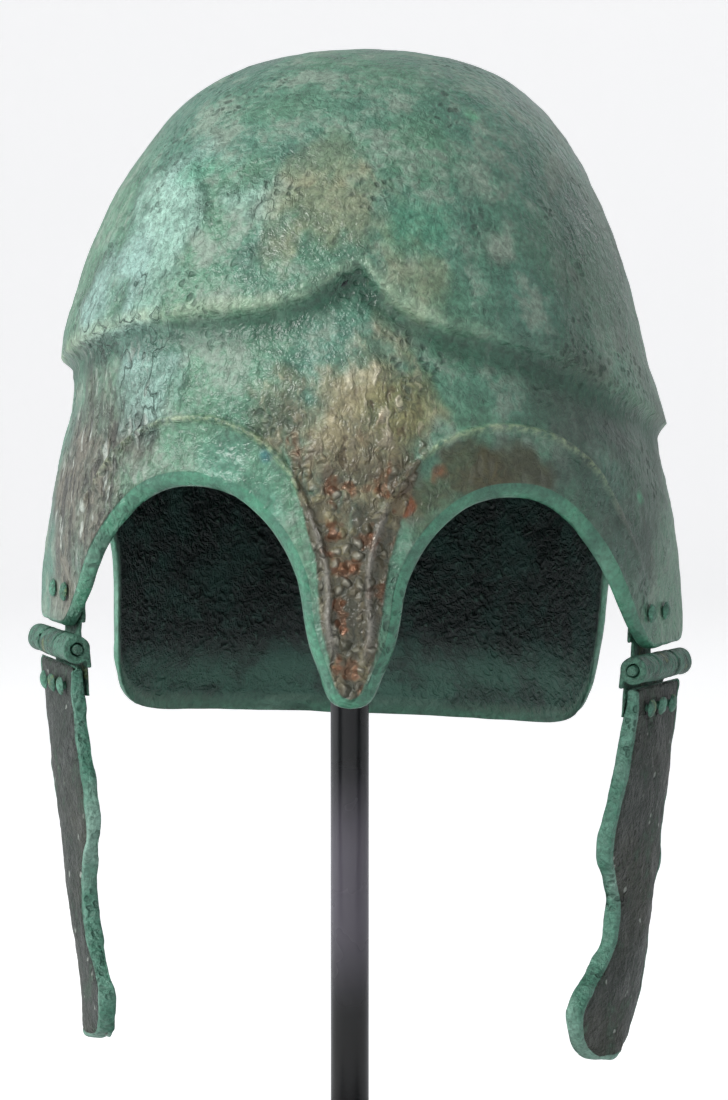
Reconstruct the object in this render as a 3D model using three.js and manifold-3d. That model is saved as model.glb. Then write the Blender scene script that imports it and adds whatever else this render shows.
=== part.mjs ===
// Bronze chalcidian helmet with two hinged cheek pieces, on a plain rod stand.
// Millimetres, +Z up, face towards -Y, wearer's left towards +X.
// The origin is under the middle of the stand's base.
// Levels of the helmet are measured up from the axis of its hinges.
import * as THREE from "three";
import { mergeVertices } from "three/addons/utils/BufferGeometryUtils.js";
import Module from "manifold-3d";

const wasm = await Module();
wasm.setup();

// Bowl
const DOME_HEIGHT = 183; // crown above the hinges
const HALF_WIDTH = 93; // half the bowl's width at the brow
const FRONT_REACH = 110; // crown to forehead
const BACK_REACH = 116; // crown to back of the head
const SQUARENESS = 2.2; // 2 is an ellipse in plan
const SWAY = 3.3; // how far the dented bowl leans to one side
const NAPE_SWAY = -2.3; // how far the nape leans back to the other side
const NAPE_PINCH = 0.1; // share by which the nape is narrower than the temples
const NAPE_TOP = 0.4; // share of the dome's height below which the nape is pinched
const NAPE_FADE = 0.3; // share of the dome's height over which the pinch comes in
const NAPE_START = 85; // degrees round from the nose at which the nape begins
const NAPE_TURN = 30; // degrees over which it comes in
const GUARD_DROP = 31.5; // neck guard's lower edge below the hinges
const NOSE_DROP = 10; // nose guard's tip below the hinges
const EYE_TOP = 54; // top of the eye openings
const EAR_TOP = 45; // top of the ear openings
const WALL = 1.5; // bronze sheet
const RIM_WALL = 3.2; // thickened edges
const RIM_BEVEL = 3.2; // width of the bright band round the eyes
const RIM_FADE = 9; // how far the edge's thickening reaches up the wall
const RIDGE_RISE = 1.4; // brow ridge above the wall
const RIDGE_RECESS = 1.6; // hollow band under the ridge
const RIDGE_STEP = 5.5; // height of the step from crest to recess
const RECESS_FADE = 24; // height over which the recess runs out
const RIDGE_TURN = 2.2; // degrees that the ridge's peak sits off the middle
const NOSE_TURN = 0.3; // degrees that the nose guard sits off the middle
const BROW_RISE = 1.1; // eyebrow line above the wall
const BROW_HEIGHT = 15; // eyebrow line above the top of the eye opening
const BROW_SPREAD = 3.2; // half the eyebrow line's width
const BROW_START = 0.1; // share of the way round one side at which the eyebrow line starts
const BROW_SWELL = 0.06; // share over which it rises
const BROW_END = 0.37;
const BROW_FADE = 0.08;
const TAB_FLAT = 2.4; // how far the hinge tab is flattened
const TAB_TURN = 17; // degrees to each side over which it is flattened
const TAB_TOP = 11; // flattened in full up to this level
const TAB_FADE = 27;
const TAB_LEVEL = 6.2; // hinge tab's lower edge, above the knuckles

// Hinges
const HINGE_AZIMUTH = 66; // degrees round from the nose
const HINGE_ANGLE = 22; // degrees between a hinge's axis and front to back
const HINGE_INSET = 1.0; // axis inside the tab's outer face
const HINGE_LENGTH = 42;
const MIDDLE_KNUCKLE = 16;
const KNUCKLE_RADIUS = 4.2;
const PIN_GAP = 0.35; // round the pin, inside the bore
const PIN_OVERHANG = 1.4; // pin beyond each end knuckle
const LEAF_WALL = 1.3;
const LEAF_OVERLAP = 1; // of a strap with the feet of its knuckles
const BORE = 1.95; // radius of the hole through the knuckles
const BORE_WALL = 0.8; // left between the bore and a leaf's foot
const BOWL_LEAF_WIDTH = 23;
const BOWL_LEAF_HEIGHT = 21;
const BOWL_LEAF_SHOULDER = 7; // level at which the leaf widens
const CHEEK_LEAF_WIDTH = 33;
const CHEEK_LEAF_HEIGHT = 15;
const FIT_GAP = 0.35; // between fixed pieces
const SWING_GAP = 0.8; // between pieces that turn past each other

// Rivets
const RIVET_HEAD_RADIUS = 2.9;
const RIVET_HEAD_HEIGHT = 1.5;
const RIVET_SHANK_RADIUS = 1.2;
const RIVET_TAIL_HEIGHT = 0.7;
const RIVET_HOLE_LENGTH = 14;
const RIVET_ROUND = 10;
const BOWL_RIVET_SPACING = 14;
const BOWL_RIVET_LEVEL = 16;
const CHEEK_RIVET_DROP = 11.5;
const CHEEK_RIVET_SPACING = 9.5;

// Cheek pieces
const CHEEK_LENGTH = 116.5; // hinge axis to lowest point
const CHEEK_WIDTH = 44;
const CHEEK_EDGE = 4.8; // thick front and lower edge
const CHEEK_BODY = 2.8;
const CHEEK_EDGE_FADE = 0.3; // share of the width over which the front edge thins out
const CHEEK_TIP_FADE = 0.09; // share of the length over which the lower edge thins out
const CHEEK_BOW = 3; // outward curve across the plate
const CHEEK_BOW_START = 0.3; // share of the length over which the curve comes in

// Stand
const HINGE_HEIGHT = 190; // hinges above the surface
const HELMET_ASIDE = 2; // helmet's middle beside the rod
const HELMET_FORWARD = 5; // helmet's middle in front of the rod
const HELMET_ROLL = 2;
const HELMET_YAW = 2;
const ROD_RADIUS = 6;
const PAD_RADIUS = 16;
const PAD_GAP = 0.9; // above the pad, to the facets of the crown
const PAD_DEPTH = 10;
const PAD_TAPER = 0.85; // share of its radius left at the pad's underside
const ROD_GAP = 0.6; // between the rod's top and the pad
const BASE_SIDE = 150;
const BASE_HEIGHT = 15;
const BASE_BEVEL = 1.5;
const SOCKET_FLOOR = 5; // base left under the rod

// Horizontal sections of the bowl, from the crown down. Levels above the hinges are shares of
// DOME_HEIGHT, those below are shares of GUARD_DROP. The reaches are shares of the three named ones.
const SECTIONS = [
  { level: 1.0, half: 0.0, front: 0.0, back: 0.0, sway: 0.3 },
  { level: 0.972, half: 0.345, front: 0.35, back: 0.35, sway: 0.0 },
  { level: 0.917, half: 0.55, front: 0.56, back: 0.57, sway: -0.5 },
  { level: 0.84, half: 0.69, front: 0.7, back: 0.72, sway: -0.7 },
  { level: 0.747, half: 0.799, front: 0.81, back: 0.83, sway: -1.0 },
  { level: 0.663, half: 0.872, front: 0.885, back: 0.91, sway: -1.0 },
  { level: 0.578, half: 0.924, front: 0.935, back: 0.96, sway: -1.0 },
  { level: 0.51, half: 0.954, front: 0.962, back: 0.985, sway: -0.9 },
  { level: 0.437, half: 0.976, front: 0.98, back: 1.0, sway: -0.4 },
  { level: 0.361, half: 0.994, front: 0.99, back: 1.0, sway: 0.3 },
  { level: 0.273, half: 1.018, front: 1.0, back: 0.98, sway: 0.3 },
  { level: 0.137, half: 1.055, front: 1.015, back: 0.925, sway: 0.45 },
  { level: 0.033, half: 1.075, front: 1.03, back: 0.885, sway: 0.6 },
  { level: -0.25, half: 1.08, front: 1.04, back: 0.87, sway: 0.6 },
  { level: -0.62, half: 1.085, front: 1.05, back: 0.915, sway: 0.6 },
  { level: -1.1, half: 1.09, front: 1.055, back: 0.985, sway: 0.6 },
];

// Crest of the brow ridge: degrees round from the nose, and levels as shares of DOME_HEIGHT.
const RIDGE = [
  { azimuth: 0, left: 0.625, right: 0.625 },
  { azimuth: 4, left: 0.6, right: 0.588 },
  { azimuth: 9, left: 0.572, right: 0.557 },
  { azimuth: 16, left: 0.555, right: 0.535 },
  { azimuth: 25, left: 0.548, right: 0.522 },
  { azimuth: 36, left: 0.534, right: 0.5 },
  { azimuth: 46, left: 0.523, right: 0.475 },
  { azimuth: 58, left: 0.5, right: 0.437 },
  { azimuth: 72, left: 0.475, right: 0.405 },
  { azimuth: 88, left: 0.455, right: 0.385 },
  { azimuth: 115, left: 0.43, right: 0.385 },
  { azimuth: 145, left: 0.415, right: 0.395 },
  { azimuth: 180, left: 0.405, right: 0.405 },
];

// Lower outline of the bowl's outer face, from the nose's tip round to the back. left and right
// are the azimuths on the wearer's two sides, each level is a share of the named size in its row,
// and bevel is a share of RIM_BEVEL.
const OUTLINE = [
  { left: 0, right: 0, level: -0.76, of: NOSE_DROP, bevel: 0.6 },
  { left: 1.5, right: 1.5, level: -0.55, of: NOSE_DROP, bevel: 0.9 },
  { left: 2.8, right: 2.8, level: 0.02, of: EYE_TOP, bevel: 0.9 },
  { left: 4.2, right: 4.2, level: 0.15, of: EYE_TOP, bevel: 0.9 },
  { left: 5.0, right: 5.0, level: 0.27, of: EYE_TOP, bevel: 0.9 },
  { left: 5.4, right: 5.4, level: 0.39, of: EYE_TOP, bevel: 1.0 },
  { left: 6.4, right: 6.4, level: 0.52, of: EYE_TOP, bevel: 1.0 },
  { left: 8.9, right: 8.9, level: 0.68, of: EYE_TOP, bevel: 1.0 },
  { left: 12.6, right: 12.6, level: 0.82, of: EYE_TOP, bevel: 1.0 },
  { left: 17.7, right: 17.7, level: 0.935, of: EYE_TOP, bevel: 1.0 },
  { left: 24.2, right: 24.5, level: 0.99, of: EYE_TOP, bevel: 1.0 },
  { left: 31.8, right: 32.5, level: 0.98, of: EYE_TOP, bevel: 1.0 },
  { left: 38.4, right: 39.5, level: 0.9, of: EYE_TOP, bevel: 1.0 },
  { left: 44.2, right: 45.5, level: 0.76, of: EYE_TOP, bevel: 1.0 },
  { left: 49.3, right: 50.6, level: 0.58, of: EYE_TOP, bevel: 1.0 },
  { left: 53.4, right: 54.6, level: 0.4, of: EYE_TOP, bevel: 1.0 },
  { left: 57.8, right: 58.6, level: 0.25, of: EYE_TOP, bevel: 0.8 },
  { left: 62.6, right: 62.6, level: 1.15, of: TAB_LEVEL, bevel: 0.3 },
  { left: 68.0, right: 68.0, level: 1.0, of: TAB_LEVEL, bevel: 0.1 },
  { left: 74.0, right: 74.0, level: 1.0, of: TAB_LEVEL, bevel: 0.1 },
  { left: 79.5, right: 79.5, level: 1.1, of: TAB_LEVEL, bevel: 0.2 },
  { left: 82.0, right: 82.0, level: 0.3, of: EAR_TOP, bevel: 0.7 },
  { left: 84.5, right: 84.5, level: 0.6, of: EAR_TOP, bevel: 0.7 },
  { left: 89.5, right: 89.5, level: 0.88, of: EAR_TOP, bevel: 0.7 },
  { left: 97.0, right: 97.0, level: 1.0, of: EAR_TOP, bevel: 0.7 },
  { left: 104.5, right: 104.5, level: 0.9, of: EAR_TOP, bevel: 0.7 },
  { left: 111.5, right: 111.5, level: 0.66, of: EAR_TOP, bevel: 0.7 },
  { left: 117.0, right: 115.5, level: 0.32, of: EAR_TOP, bevel: 0.7 },
  { left: 120.5, right: 117.5, level: -0.1, of: GUARD_DROP, bevel: 0.7 },
  { left: 123.5, right: 119.0, level: -0.52, of: GUARD_DROP, bevel: 0.7 },
  { left: 128.0, right: 123.0, level: -0.82, of: GUARD_DROP, bevel: 0.5 },
  { left: 135.0, right: 131.0, level: -0.94, of: GUARD_DROP, bevel: 0.4 },
  { left: 146.0, right: 143.0, level: -0.97, of: GUARD_DROP, bevel: 0.4 },
  { left: 162.5, right: 161.0, level: -0.99, of: GUARD_DROP, bevel: 0.4 },
  { left: 180.0, right: 180.0, level: -1.0, of: GUARD_DROP, bevel: 0.4 },
];

// Outline of a cheek piece: drop as a share of CHEEK_LENGTH, edges as shares of CHEEK_WIDTH.
const CHEEK = [
  { drop: 0.046, front: -0.47, rear: 0.48 },
  { drop: 0.11, front: -0.44, rear: 0.47 },
  { drop: 0.2, front: -0.48, rear: 0.46 },
  { drop: 0.3, front: -0.56, rear: 0.455 },
  { drop: 0.39, front: -0.645, rear: 0.44 },
  { drop: 0.46, front: -0.645, rear: 0.43 },
  { drop: 0.52, front: -0.53, rear: 0.42 },
  { drop: 0.585, front: -0.4, rear: 0.405 },
  { drop: 0.65, front: -0.365, rear: 0.39 },
  { drop: 0.72, front: -0.42, rear: 0.37 },
  { drop: 0.785, front: -0.63, rear: 0.345 },
  { drop: 0.845, front: -0.81, rear: 0.32 },
  { drop: 0.9, front: -0.79, rear: 0.28 },
  { drop: 0.95, front: -0.67, rear: 0.19 },
  { drop: 0.985, front: -0.5, rear: 0.0 },
  { drop: 1.0, front: -0.36, rear: -0.16 },
];

// The two sides, the wearer's left on +X. Degrees that a cheek piece leans inward at rest, and that
// its lower end is twisted.
const SIDES = [
  { name: "left", sign: 1, lean: 4.2, twist: 3 },
  { name: "right", sign: -1, lean: 7.4, twist: -8 },
];

// Fineness of the facets
const HALF_COLUMNS = 40;
const DOME_ROWS = 9;
const SKIRT_ROWS = 5;
const INNER_ROWS = 16;
const CROWN_CROWDING = 1.5; // rows lie closer towards the crown
const CHEEK_ROWS = 24;
const CHEEK_STEPS = 7;
const ROUND = 12;
const ROD_ROUND = 24;

const BRONZE = { color: 0x5f8a70, roughness: 0.55, metalness: 0.35 };
const CHEEK_BRONZE = { color: 0x4f6b5a, roughness: 0.6, metalness: 0.35 };
const HINGE_BRONZE = { color: 0x47705c, roughness: 0.6, metalness: 0.35 };
const BLACK_STEEL = { color: 0x111214, roughness: 0.35, metalness: 0.4 };
const BLACK_RUBBER = { color: 0x1b1b1c, roughness: 0.9, metalness: 0 };

const DEGREE = Math.PI / 180;
const clamp = (value, low, high) => Math.min(Math.max(value, low), high);
const mix = (a, b, share) => a + (b - a) * share;
const power = (value, exponent) =>
  Math.sign(value) * Math.abs(value) ** exponent;

function smooth(share) {
  const t = clamp(share, 0, 1);
  return t * t * (3 - 2 * t);
}

// Smooth curve through evenly numbered values
function spline(values, place) {
  const i = clamp(Math.floor(place), 0, values.length - 2);
  const t = place - i;
  const at = (k) => values[clamp(k, 0, values.length - 1)];
  const [a, b, c, d] = [at(i - 1), at(i), at(i + 1), at(i + 2)];
  const bend = 2 * a - 5 * b + 4 * c - d + t * (3 * (b - c) + d - a);
  return b + 0.5 * t * (c - a + t * bend);
}

// Place in a rising table column where its curve reaches a value
function placeOf(values, wanted) {
  let i = 0;
  while (i < values.length - 2 && values[i + 1] < wanted) i += 1;
  return i + (wanted - values[i]) / (values[i + 1] - values[i]);
}

// Columns of the section table, with a mirrored row above the crown that makes it smooth there
const levelOf = (share) => share * (share < 0 ? GUARD_DROP : DOME_HEIGHT);
const levels = SECTIONS.map((row) => levelOf(row.level));
const column = (key, size) => {
  const values = SECTIONS.map((row) => row[key] * size);
  return [-values[1], ...values];
};
const COLUMNS = {
  level: [levels[1], ...levels],
  half: column("half", HALF_WIDTH),
  front: column("front", FRONT_REACH),
  back: column("back", BACK_REACH),
};
const sways = SECTIONS.map((row) => row.sway * SWAY);
COLUMNS.sway = [sways[1], ...sways];

const sectionValue = (key, row) => spline(COLUMNS[key], row + 1);

// Row of the section table at a level
function rowAt(level) {
  let low = 0;
  let high = SECTIONS.length - 1;
  for (let i = 0; i < 40; i += 1) {
    const middle = (low + high) / 2;
    if (sectionValue("level", middle) > level) low = middle;
    else high = middle;
  }
  return (low + high) / 2;
}

// Point of the plain bowl surface, before ridge and tab are worked into it
function bowlSurface(azimuth, row) {
  const level = sectionValue("level", row);
  const across = Math.sin(azimuth * DEGREE);
  const along = Math.cos(azimuth * DEGREE);
  const exponent = 2 / SQUARENESS;
  const low = smooth((NAPE_TOP - level / DOME_HEIGHT) / NAPE_FADE);
  const nape = smooth((Math.abs(azimuth) - NAPE_START) / NAPE_TURN);
  const half = sectionValue("half", row) * (1 - NAPE_PINCH * low * nape);
  const reach = sectionValue(along > 0 ? "front" : "back", row);
  const aside = sectionValue("sway", row) + NAPE_SWAY * low * nape;
  return new THREE.Vector3(
    half * power(across, exponent) + aside,
    -reach * power(along, exponent),
    level,
  );
}

function bowlNormal(azimuth, row) {
  if (row < 0.02) return new THREE.Vector3(0, 0, 1);
  const step = 0.01;
  const down = bowlSurface(azimuth, row + step).sub(
    bowlSurface(azimuth, row - step),
  );
  const round = bowlSurface(azimuth + 1, row).sub(bowlSurface(azimuth - 1, row));
  return down.cross(round).normalize();
}

// An azimuth with the front of the helmet turned aside by some degrees
const turned = (azimuth, turn) =>
  azimuth + turn * Math.cos((azimuth * DEGREE) / 2) ** 4;

function crestLevel(azimuth) {
  const turns = Math.abs(turned(azimuth, -RIDGE_TURN));
  const place = placeOf(
    RIDGE.map((row) => row.azimuth),
    turns,
  );
  const side = turned(azimuth, -RIDGE_TURN) < 0 ? "left" : "right";
  return (
    DOME_HEIGHT *
    spline(
      RIDGE.map((row) => row[side]),
      place,
    )
  );
}

// How far the ridge, its recess and the flattened tab move the wall out
function workedRelief(azimuth, level) {
  const below = crestLevel(azimuth) - level;
  let relief = 0;
  if (below < 0) relief = RIDGE_RISE * smooth(1 + below / RECESS_FADE);
  else if (below < RIDGE_STEP)
    relief = mix(RIDGE_RISE, -RIDGE_RECESS, smooth(below / RIDGE_STEP));
  else relief = -RIDGE_RECESS * (1 - smooth((below - RIDGE_STEP) / RECESS_FADE));
  const round = (Math.abs(azimuth) - HINGE_AZIMUTH) / TAB_TURN;
  const low = 1 - smooth((level - TAB_TOP) / TAB_FADE);
  return relief - TAB_FLAT * low * smooth(1 - round * round);
}

// Point of the bowl's wall, a given depth inside its outer face
function bowlPoint(azimuth, level, depth) {
  const row = rowAt(level);
  const out = workedRelief(azimuth, level) - depth;
  return bowlSurface(azimuth, row).addScaledVector(
    bowlNormal(azimuth, row),
    out,
  );
}

// Lower outline of one side in even steps, each with azimuth, level and bevel
function outlineOf(sign) {
  const side = sign > 0 ? "left" : "right";
  const tracks = {
    azimuth: OUTLINE.map((row) => turned(row[side] * sign, NOSE_TURN)),
    level: OUTLINE.map((row) => row.level * row.of),
    bevel: OUTLINE.map((row) => row.bevel * RIM_BEVEL),
  };
  const fine = [];
  const count = (OUTLINE.length - 1) * 12;
  let length = 0;
  for (let i = 0; i <= count; i += 1) {
    const place = (i * (OUTLINE.length - 1)) / count;
    const step = {
      azimuth: spline(tracks.azimuth, place),
      level: spline(tracks.level, place),
      bevel: spline(tracks.bevel, place),
    };
    step.point = bowlPoint(step.azimuth, step.level, 0);
    if (i > 0) length += step.point.distanceTo(fine[i - 1].point);
    step.length = length;
    fine.push(step);
  }
  const even = [];
  for (let i = 0; i <= HALF_COLUMNS; i += 1) {
    const wanted = (length * i) / HALF_COLUMNS;
    const k = clamp(
      fine.findIndex((step) => step.length >= wanted - 1e-9),
      1,
      count,
    );
    const [a, b] = [fine[k - 1], fine[k]];
    const share = (wanted - a.length) / (b.length - a.length);
    even.push({
      share: i / HALF_COLUMNS,
      azimuth: mix(a.azimuth, b.azimuth, share),
      level: mix(a.level, b.level, share),
      bevel: mix(a.bevel, b.bevel, share),
      sign,
    });
  }
  return even;
}

// The whole outline as a ring, from the nose round by +X
function outlineRing() {
  const one = outlineOf(1);
  const other = outlineOf(-1).slice(1, -1).reverse();
  return [...one, ...other];
}

// A column's azimuth and level, 0 to 1 from the crest of the ridge down to the outline
function skirtPlace(edge, share) {
  const straight = edge.sign * 180 * edge.share;
  const azimuth = mix(straight, edge.azimuth, smooth(share));
  const crest = crestLevel(straight);
  return { azimuth, level: mix(crest, edge.level, share) };
}

// Thickness of the wall a given height above the edge
const wallAt = (aboveEdge) =>
  mix(RIM_WALL, WALL, smooth(Math.abs(aboveEdge) / RIM_FADE));

// How much of the eyebrow line stands at a place along the outline
const browShare = (share) =>
  smooth((share - BROW_START) / BROW_SWELL) *
  smooth((BROW_END - share) / BROW_FADE);

// Shares of the way down a column at which its rows lie: the ridge's step, then the eyebrow line
function skirtShares(edge) {
  const height = crestLevel(edge.sign * 180 * edge.share) - edge.level;
  const brow = 1 - BROW_HEIGHT / height;
  const spread = BROW_SPREAD / height;
  const shares = [RIDGE_STEP / 2 / height, RIDGE_STEP / height];
  const lines = [brow - spread, brow, brow + spread];
  for (let i = 1; i < SKIRT_ROWS; i += 1)
    shares.push(mix(shares[1], lines[0], i / SKIRT_ROWS));
  return [...shares, ...lines, mix(lines[2], 1, 0.5), 1];
}

const BROW_ROW = SKIRT_ROWS + 2;

function bowlRings() {
  const ring = outlineRing();
  const rings = [];
  const domeRing = (share, depth) =>
    ring.map((edge) => {
      const azimuth = edge.sign * 180 * edge.share;
      const row = rowAt(crestLevel(azimuth)) * share ** CROWN_CROWDING;
      return bowlPoint(azimuth, sectionValue("level", row), depth);
    });
  const innerRing = (share) =>
    ring.map((edge) => {
      const place = skirtPlace(edge, share);
      const depth = wallAt(place.level - edge.level);
      return bowlPoint(place.azimuth, place.level, depth);
    });
  for (let i = 1; i <= DOME_ROWS; i += 1) rings.push(domeRing(i / DOME_ROWS, 0));
  const shares = ring.map(skirtShares);
  for (let i = 0; i < shares[0].length; i += 1)
    rings.push(
      ring.map((edge, j) => {
        const place = skirtPlace(edge, shares[j][i]);
        const rise = i === BROW_ROW ? BROW_RISE * browShare(edge.share) : 0;
        return bowlPoint(place.azimuth, place.level, -rise);
      }),
    );
  const outer = rings[rings.length - 1];
  rings.push(
    ring.map((edge, i) => {
      const next = outer[(i + 1) % ring.length];
      const last = outer[(i + ring.length - 1) % ring.length];
      const round = next.clone().sub(last).normalize();
      const normal = bowlNormal(edge.azimuth, rowAt(edge.level));
      const off = normal.clone().cross(round).normalize();
      const edgePoint = outer[i].clone().addScaledVector(normal, -RIM_WALL);
      return edgePoint.addScaledVector(off, -edge.bevel);
    }),
  );
  const skirtInside = INNER_ROWS / 2;
  for (let i = skirtInside - 1; i >= 1; i -= 1)
    rings.push(innerRing(i / skirtInside));
  const domeInside = INNER_ROWS - skirtInside;
  for (let i = domeInside; i >= 1; i -= 1)
    rings.push(domeRing(i / domeInside, WALL));
  return rings;
}

function meshOf(points, faces) {
  const geometry = new THREE.BufferGeometry();
  const flat = points.flatMap((point) => [point.x, point.y, point.z]);
  geometry.setAttribute("position", new THREE.Float32BufferAttribute(flat, 3));
  geometry.setIndex(faces);
  geometry.computeVertexNormals();
  return geometry;
}

// Closed skin over rings of points, with a point or a flat fan at each end
function skinOf(rings, first, last) {
  const size = rings[0].length;
  const points = [first, ...rings.flat(), last];
  const faces = [];
  const at = (r, j) => 1 + r * size + (j % size);
  for (let j = 0; j < size; j += 1) faces.push(0, at(0, j), at(0, j + 1));
  for (let r = 0; r < rings.length - 1; r += 1)
    for (let j = 0; j < size; j += 1) {
      faces.push(at(r, j), at(r + 1, j), at(r + 1, j + 1));
      faces.push(at(r, j), at(r + 1, j + 1), at(r, j + 1));
    }
  const end = points.length - 1;
  const bottom = rings.length - 1;
  for (let j = 0; j < size; j += 1)
    faces.push(end, at(bottom, j + 1), at(bottom, j));
  return meshOf(points, faces);
}

function solidOf(geometry) {
  const plain = geometry.clone();
  plain.deleteAttribute("normal");
  plain.deleteAttribute("uv");
  const merged = mergeVertices(plain, 1e-4);
  return new wasm.Manifold(
    new wasm.Mesh({
      numProp: 3,
      vertProperties: new Float32Array(merged.attributes.position.array),
      triVerts: new Uint32Array(merged.index.array),
    }),
  );
}

function geometryOf(solid) {
  const mesh = solid.getMesh();
  const geometry = new THREE.BufferGeometry();
  const points = new Float32Array(mesh.vertProperties);
  geometry.setAttribute("position", new THREE.BufferAttribute(points, 3));
  geometry.setIndex([...mesh.triVerts]);
  geometry.computeVertexNormals();
  return geometry;
}

// The same geometry for the other side of the helmet
function sided(geometry, sign) {
  const copy = geometry.index ? geometry.clone() : mergeVertices(geometry);
  if (sign > 0) return copy;
  copy.scale(-1, 1, 1);
  const index = [...copy.index.array];
  for (let i = 0; i < index.length; i += 3)
    [index[i + 1], index[i + 2]] = [index[i + 2], index[i + 1]];
  copy.setIndex(index);
  copy.computeVertexNormals();
  return copy;
}

// Hinge frame of one side: its group has +Y along the axis to the rear, and +X times sign outward
function hingePlace(sign) {
  const edge = bowlPoint(sign * HINGE_AZIMUTH, TAB_LEVEL, 0);
  const turn = -sign * HINGE_ANGLE * DEGREE;
  const outward = new THREE.Vector3(
    sign * Math.cos(turn),
    sign * Math.sin(turn),
    0,
  );
  edge.addScaledVector(outward, -HINGE_INSET);
  return { x: edge.x, y: edge.y, turn };
}

// How far outside the hinge axis the bowl's wall lies, at a place along the axis and a level
function wallOutside(sign, along, level, depth) {
  const { x, y, turn } = hingePlace(sign);
  const inFrame = (azimuth) =>
    bowlPoint(sign * azimuth, level, depth)
      .sub(new THREE.Vector3(x, y, 0))
      .applyAxisAngle(new THREE.Vector3(0, 0, 1), -turn);
  let [low, high] = [30, 110];
  for (let i = 0; i < 30; i += 1) {
    const middle = (low + high) / 2;
    if (inFrame(middle).y < along) low = middle;
    else high = middle;
  }
  return inFrame(low).x * sign;
}

function cylinderAlongY(radius, length, sides) {
  return new THREE.CylinderGeometry(radius, radius, length, sides);
}

function boxAt(low, high) {
  const size = high.map((value, i) => value - low[i]);
  const box = new THREE.BoxGeometry(...size);
  box.translate(...low.map((value, i) => value + size[i] / 2));
  return box;
}

// A leaf's rolled knuckle, along Y from one end to the other
function knuckle(from, to) {
  const outline = new THREE.Shape().absarc(0, 0, KNUCKLE_RADIUS, 0, 2 * Math.PI);
  outline.holes.push(new THREE.Path().absarc(0, 0, BORE, 0, 2 * Math.PI, true));
  const ring = new THREE.ExtrudeGeometry(outline, {
    depth: to - from,
    bevelEnabled: false,
    curveSegments: ROUND,
  });
  ring.rotateX(Math.PI / 2);
  ring.translate(0, to, 0);
  return ring;
}

function bowlLeaf(side) {
  const halfWidth = BOWL_LEAF_WIDTH / 2;
  const top = BOWL_LEAF_HEIGHT;
  let seat = Infinity;
  for (const along of [-halfWidth, 0, halfWidth])
    for (const level of [TAB_LEVEL, BOWL_RIVET_LEVEL, top]) {
      const wall = wallOutside(side.sign, along, level, RIM_WALL);
      seat = Math.min(seat, wall);
    }
  const face = seat - FIT_GAP;
  const back = face - LEAF_WALL;
  const reach = MIDDLE_KNUCKLE / 2;
  const parts = [
    knuckle(-reach, reach),
    boxAt([back, -reach, 0], [face, reach, top]),
    boxAt([back, -reach, 0], [-BORE - BORE_WALL, reach, 2 * LEAF_WALL]),
    boxAt([back, -halfWidth, BOWL_LEAF_SHOULDER], [face, halfWidth, top]),
  ];
  return { parts, face };
}

function bowlRivets(side, face) {
  return [-0.5, 0.5].map((share) => {
    const along = share * BOWL_RIVET_SPACING;
    const outer = wallOutside(side.sign, along, BOWL_RIVET_LEVEL, 0);
    return { along, level: BOWL_RIVET_LEVEL, outer, inner: face - LEAF_WALL };
  });
}

// Rivet along X: a domed head on the outer face, a shank, and a flat peened head inside
function rivet({ along, level, outer, inner }) {
  const head = outer + FIT_GAP;
  const tail = inner - FIT_GAP;
  const profile = [
    [0, tail - RIVET_TAIL_HEIGHT],
    [RIVET_SHANK_RADIUS * 1.6, tail - RIVET_TAIL_HEIGHT],
    [RIVET_SHANK_RADIUS * 1.8, tail],
    [RIVET_SHANK_RADIUS, tail],
    [RIVET_SHANK_RADIUS, head],
    [RIVET_HEAD_RADIUS, head],
    [RIVET_HEAD_RADIUS * 0.8, head + RIVET_HEAD_HEIGHT * 0.6],
    [0, head + RIVET_HEAD_HEIGHT],
  ].map(([radius, height]) => new THREE.Vector2(radius, height));
  const body = new THREE.LatheGeometry(profile, RIVET_ROUND);
  body.rotateZ(-Math.PI / 2);
  body.translate(0, along, level);
  return body;
}

function rivetHole({ along, level, outer, inner }) {
  const radius = RIVET_SHANK_RADIUS + FIT_GAP;
  const hole = cylinderAlongY(radius, RIVET_HOLE_LENGTH, RIVET_ROUND);
  hole.rotateZ(Math.PI / 2);
  hole.translate((outer + inner) / 2, along, level);
  return hole;
}

// Point of a cheek piece, from its front to its rear edge and from its top to its lowest point
function cheekPoint(side, place, across, inside) {
  const drop = spline(
    CHEEK.map((row) => row.drop),
    place,
  );
  const front = spline(
    CHEEK.map((row) => row.front),
    place,
  );
  const rear = spline(
    CHEEK.map((row) => row.rear),
    place,
  );
  const along = mix(front, rear, across) * CHEEK_WIDTH;
  const fromEdge = Math.min(across / CHEEK_EDGE_FADE, (1 - drop) / CHEEK_TIP_FADE);
  const wall = mix(CHEEK_EDGE, CHEEK_BODY, smooth(fromEdge));
  const arch = 1 - (2 * across - 1) ** 2;
  const bowed = CHEEK_BOW * smooth(drop / CHEEK_BOW_START) * arch;
  const out = bowed + (inside ? -wall / 2 : wall / 2);
  const twist = -side.twist * DEGREE * smooth(drop);
  return new THREE.Vector3(
    out * Math.cos(twist) - along * Math.sin(twist),
    out * Math.sin(twist) + along * Math.cos(twist),
    -drop * CHEEK_LENGTH,
  );
}

function cheekPlate(side) {
  const rings = [];
  for (let i = 0; i <= CHEEK_ROWS; i += 1) {
    const place = ((CHEEK.length - 1) * i) / CHEEK_ROWS;
    const ring = [];
    for (let j = 0; j <= CHEEK_STEPS; j += 1)
      ring.push(cheekPoint(side, place, j / CHEEK_STEPS, false));
    for (let j = CHEEK_STEPS; j >= 0; j -= 1)
      ring.push(cheekPoint(side, place, j / CHEEK_STEPS, true));
    rings.push(ring);
  }
  const middleOf = (ring) =>
    ring
      .reduce((sum, point) => sum.add(point), new THREE.Vector3())
      .divideScalar(ring.length);
  return skinOf(rings, middleOf(rings[0]), middleOf(rings.at(-1)));
}

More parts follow.
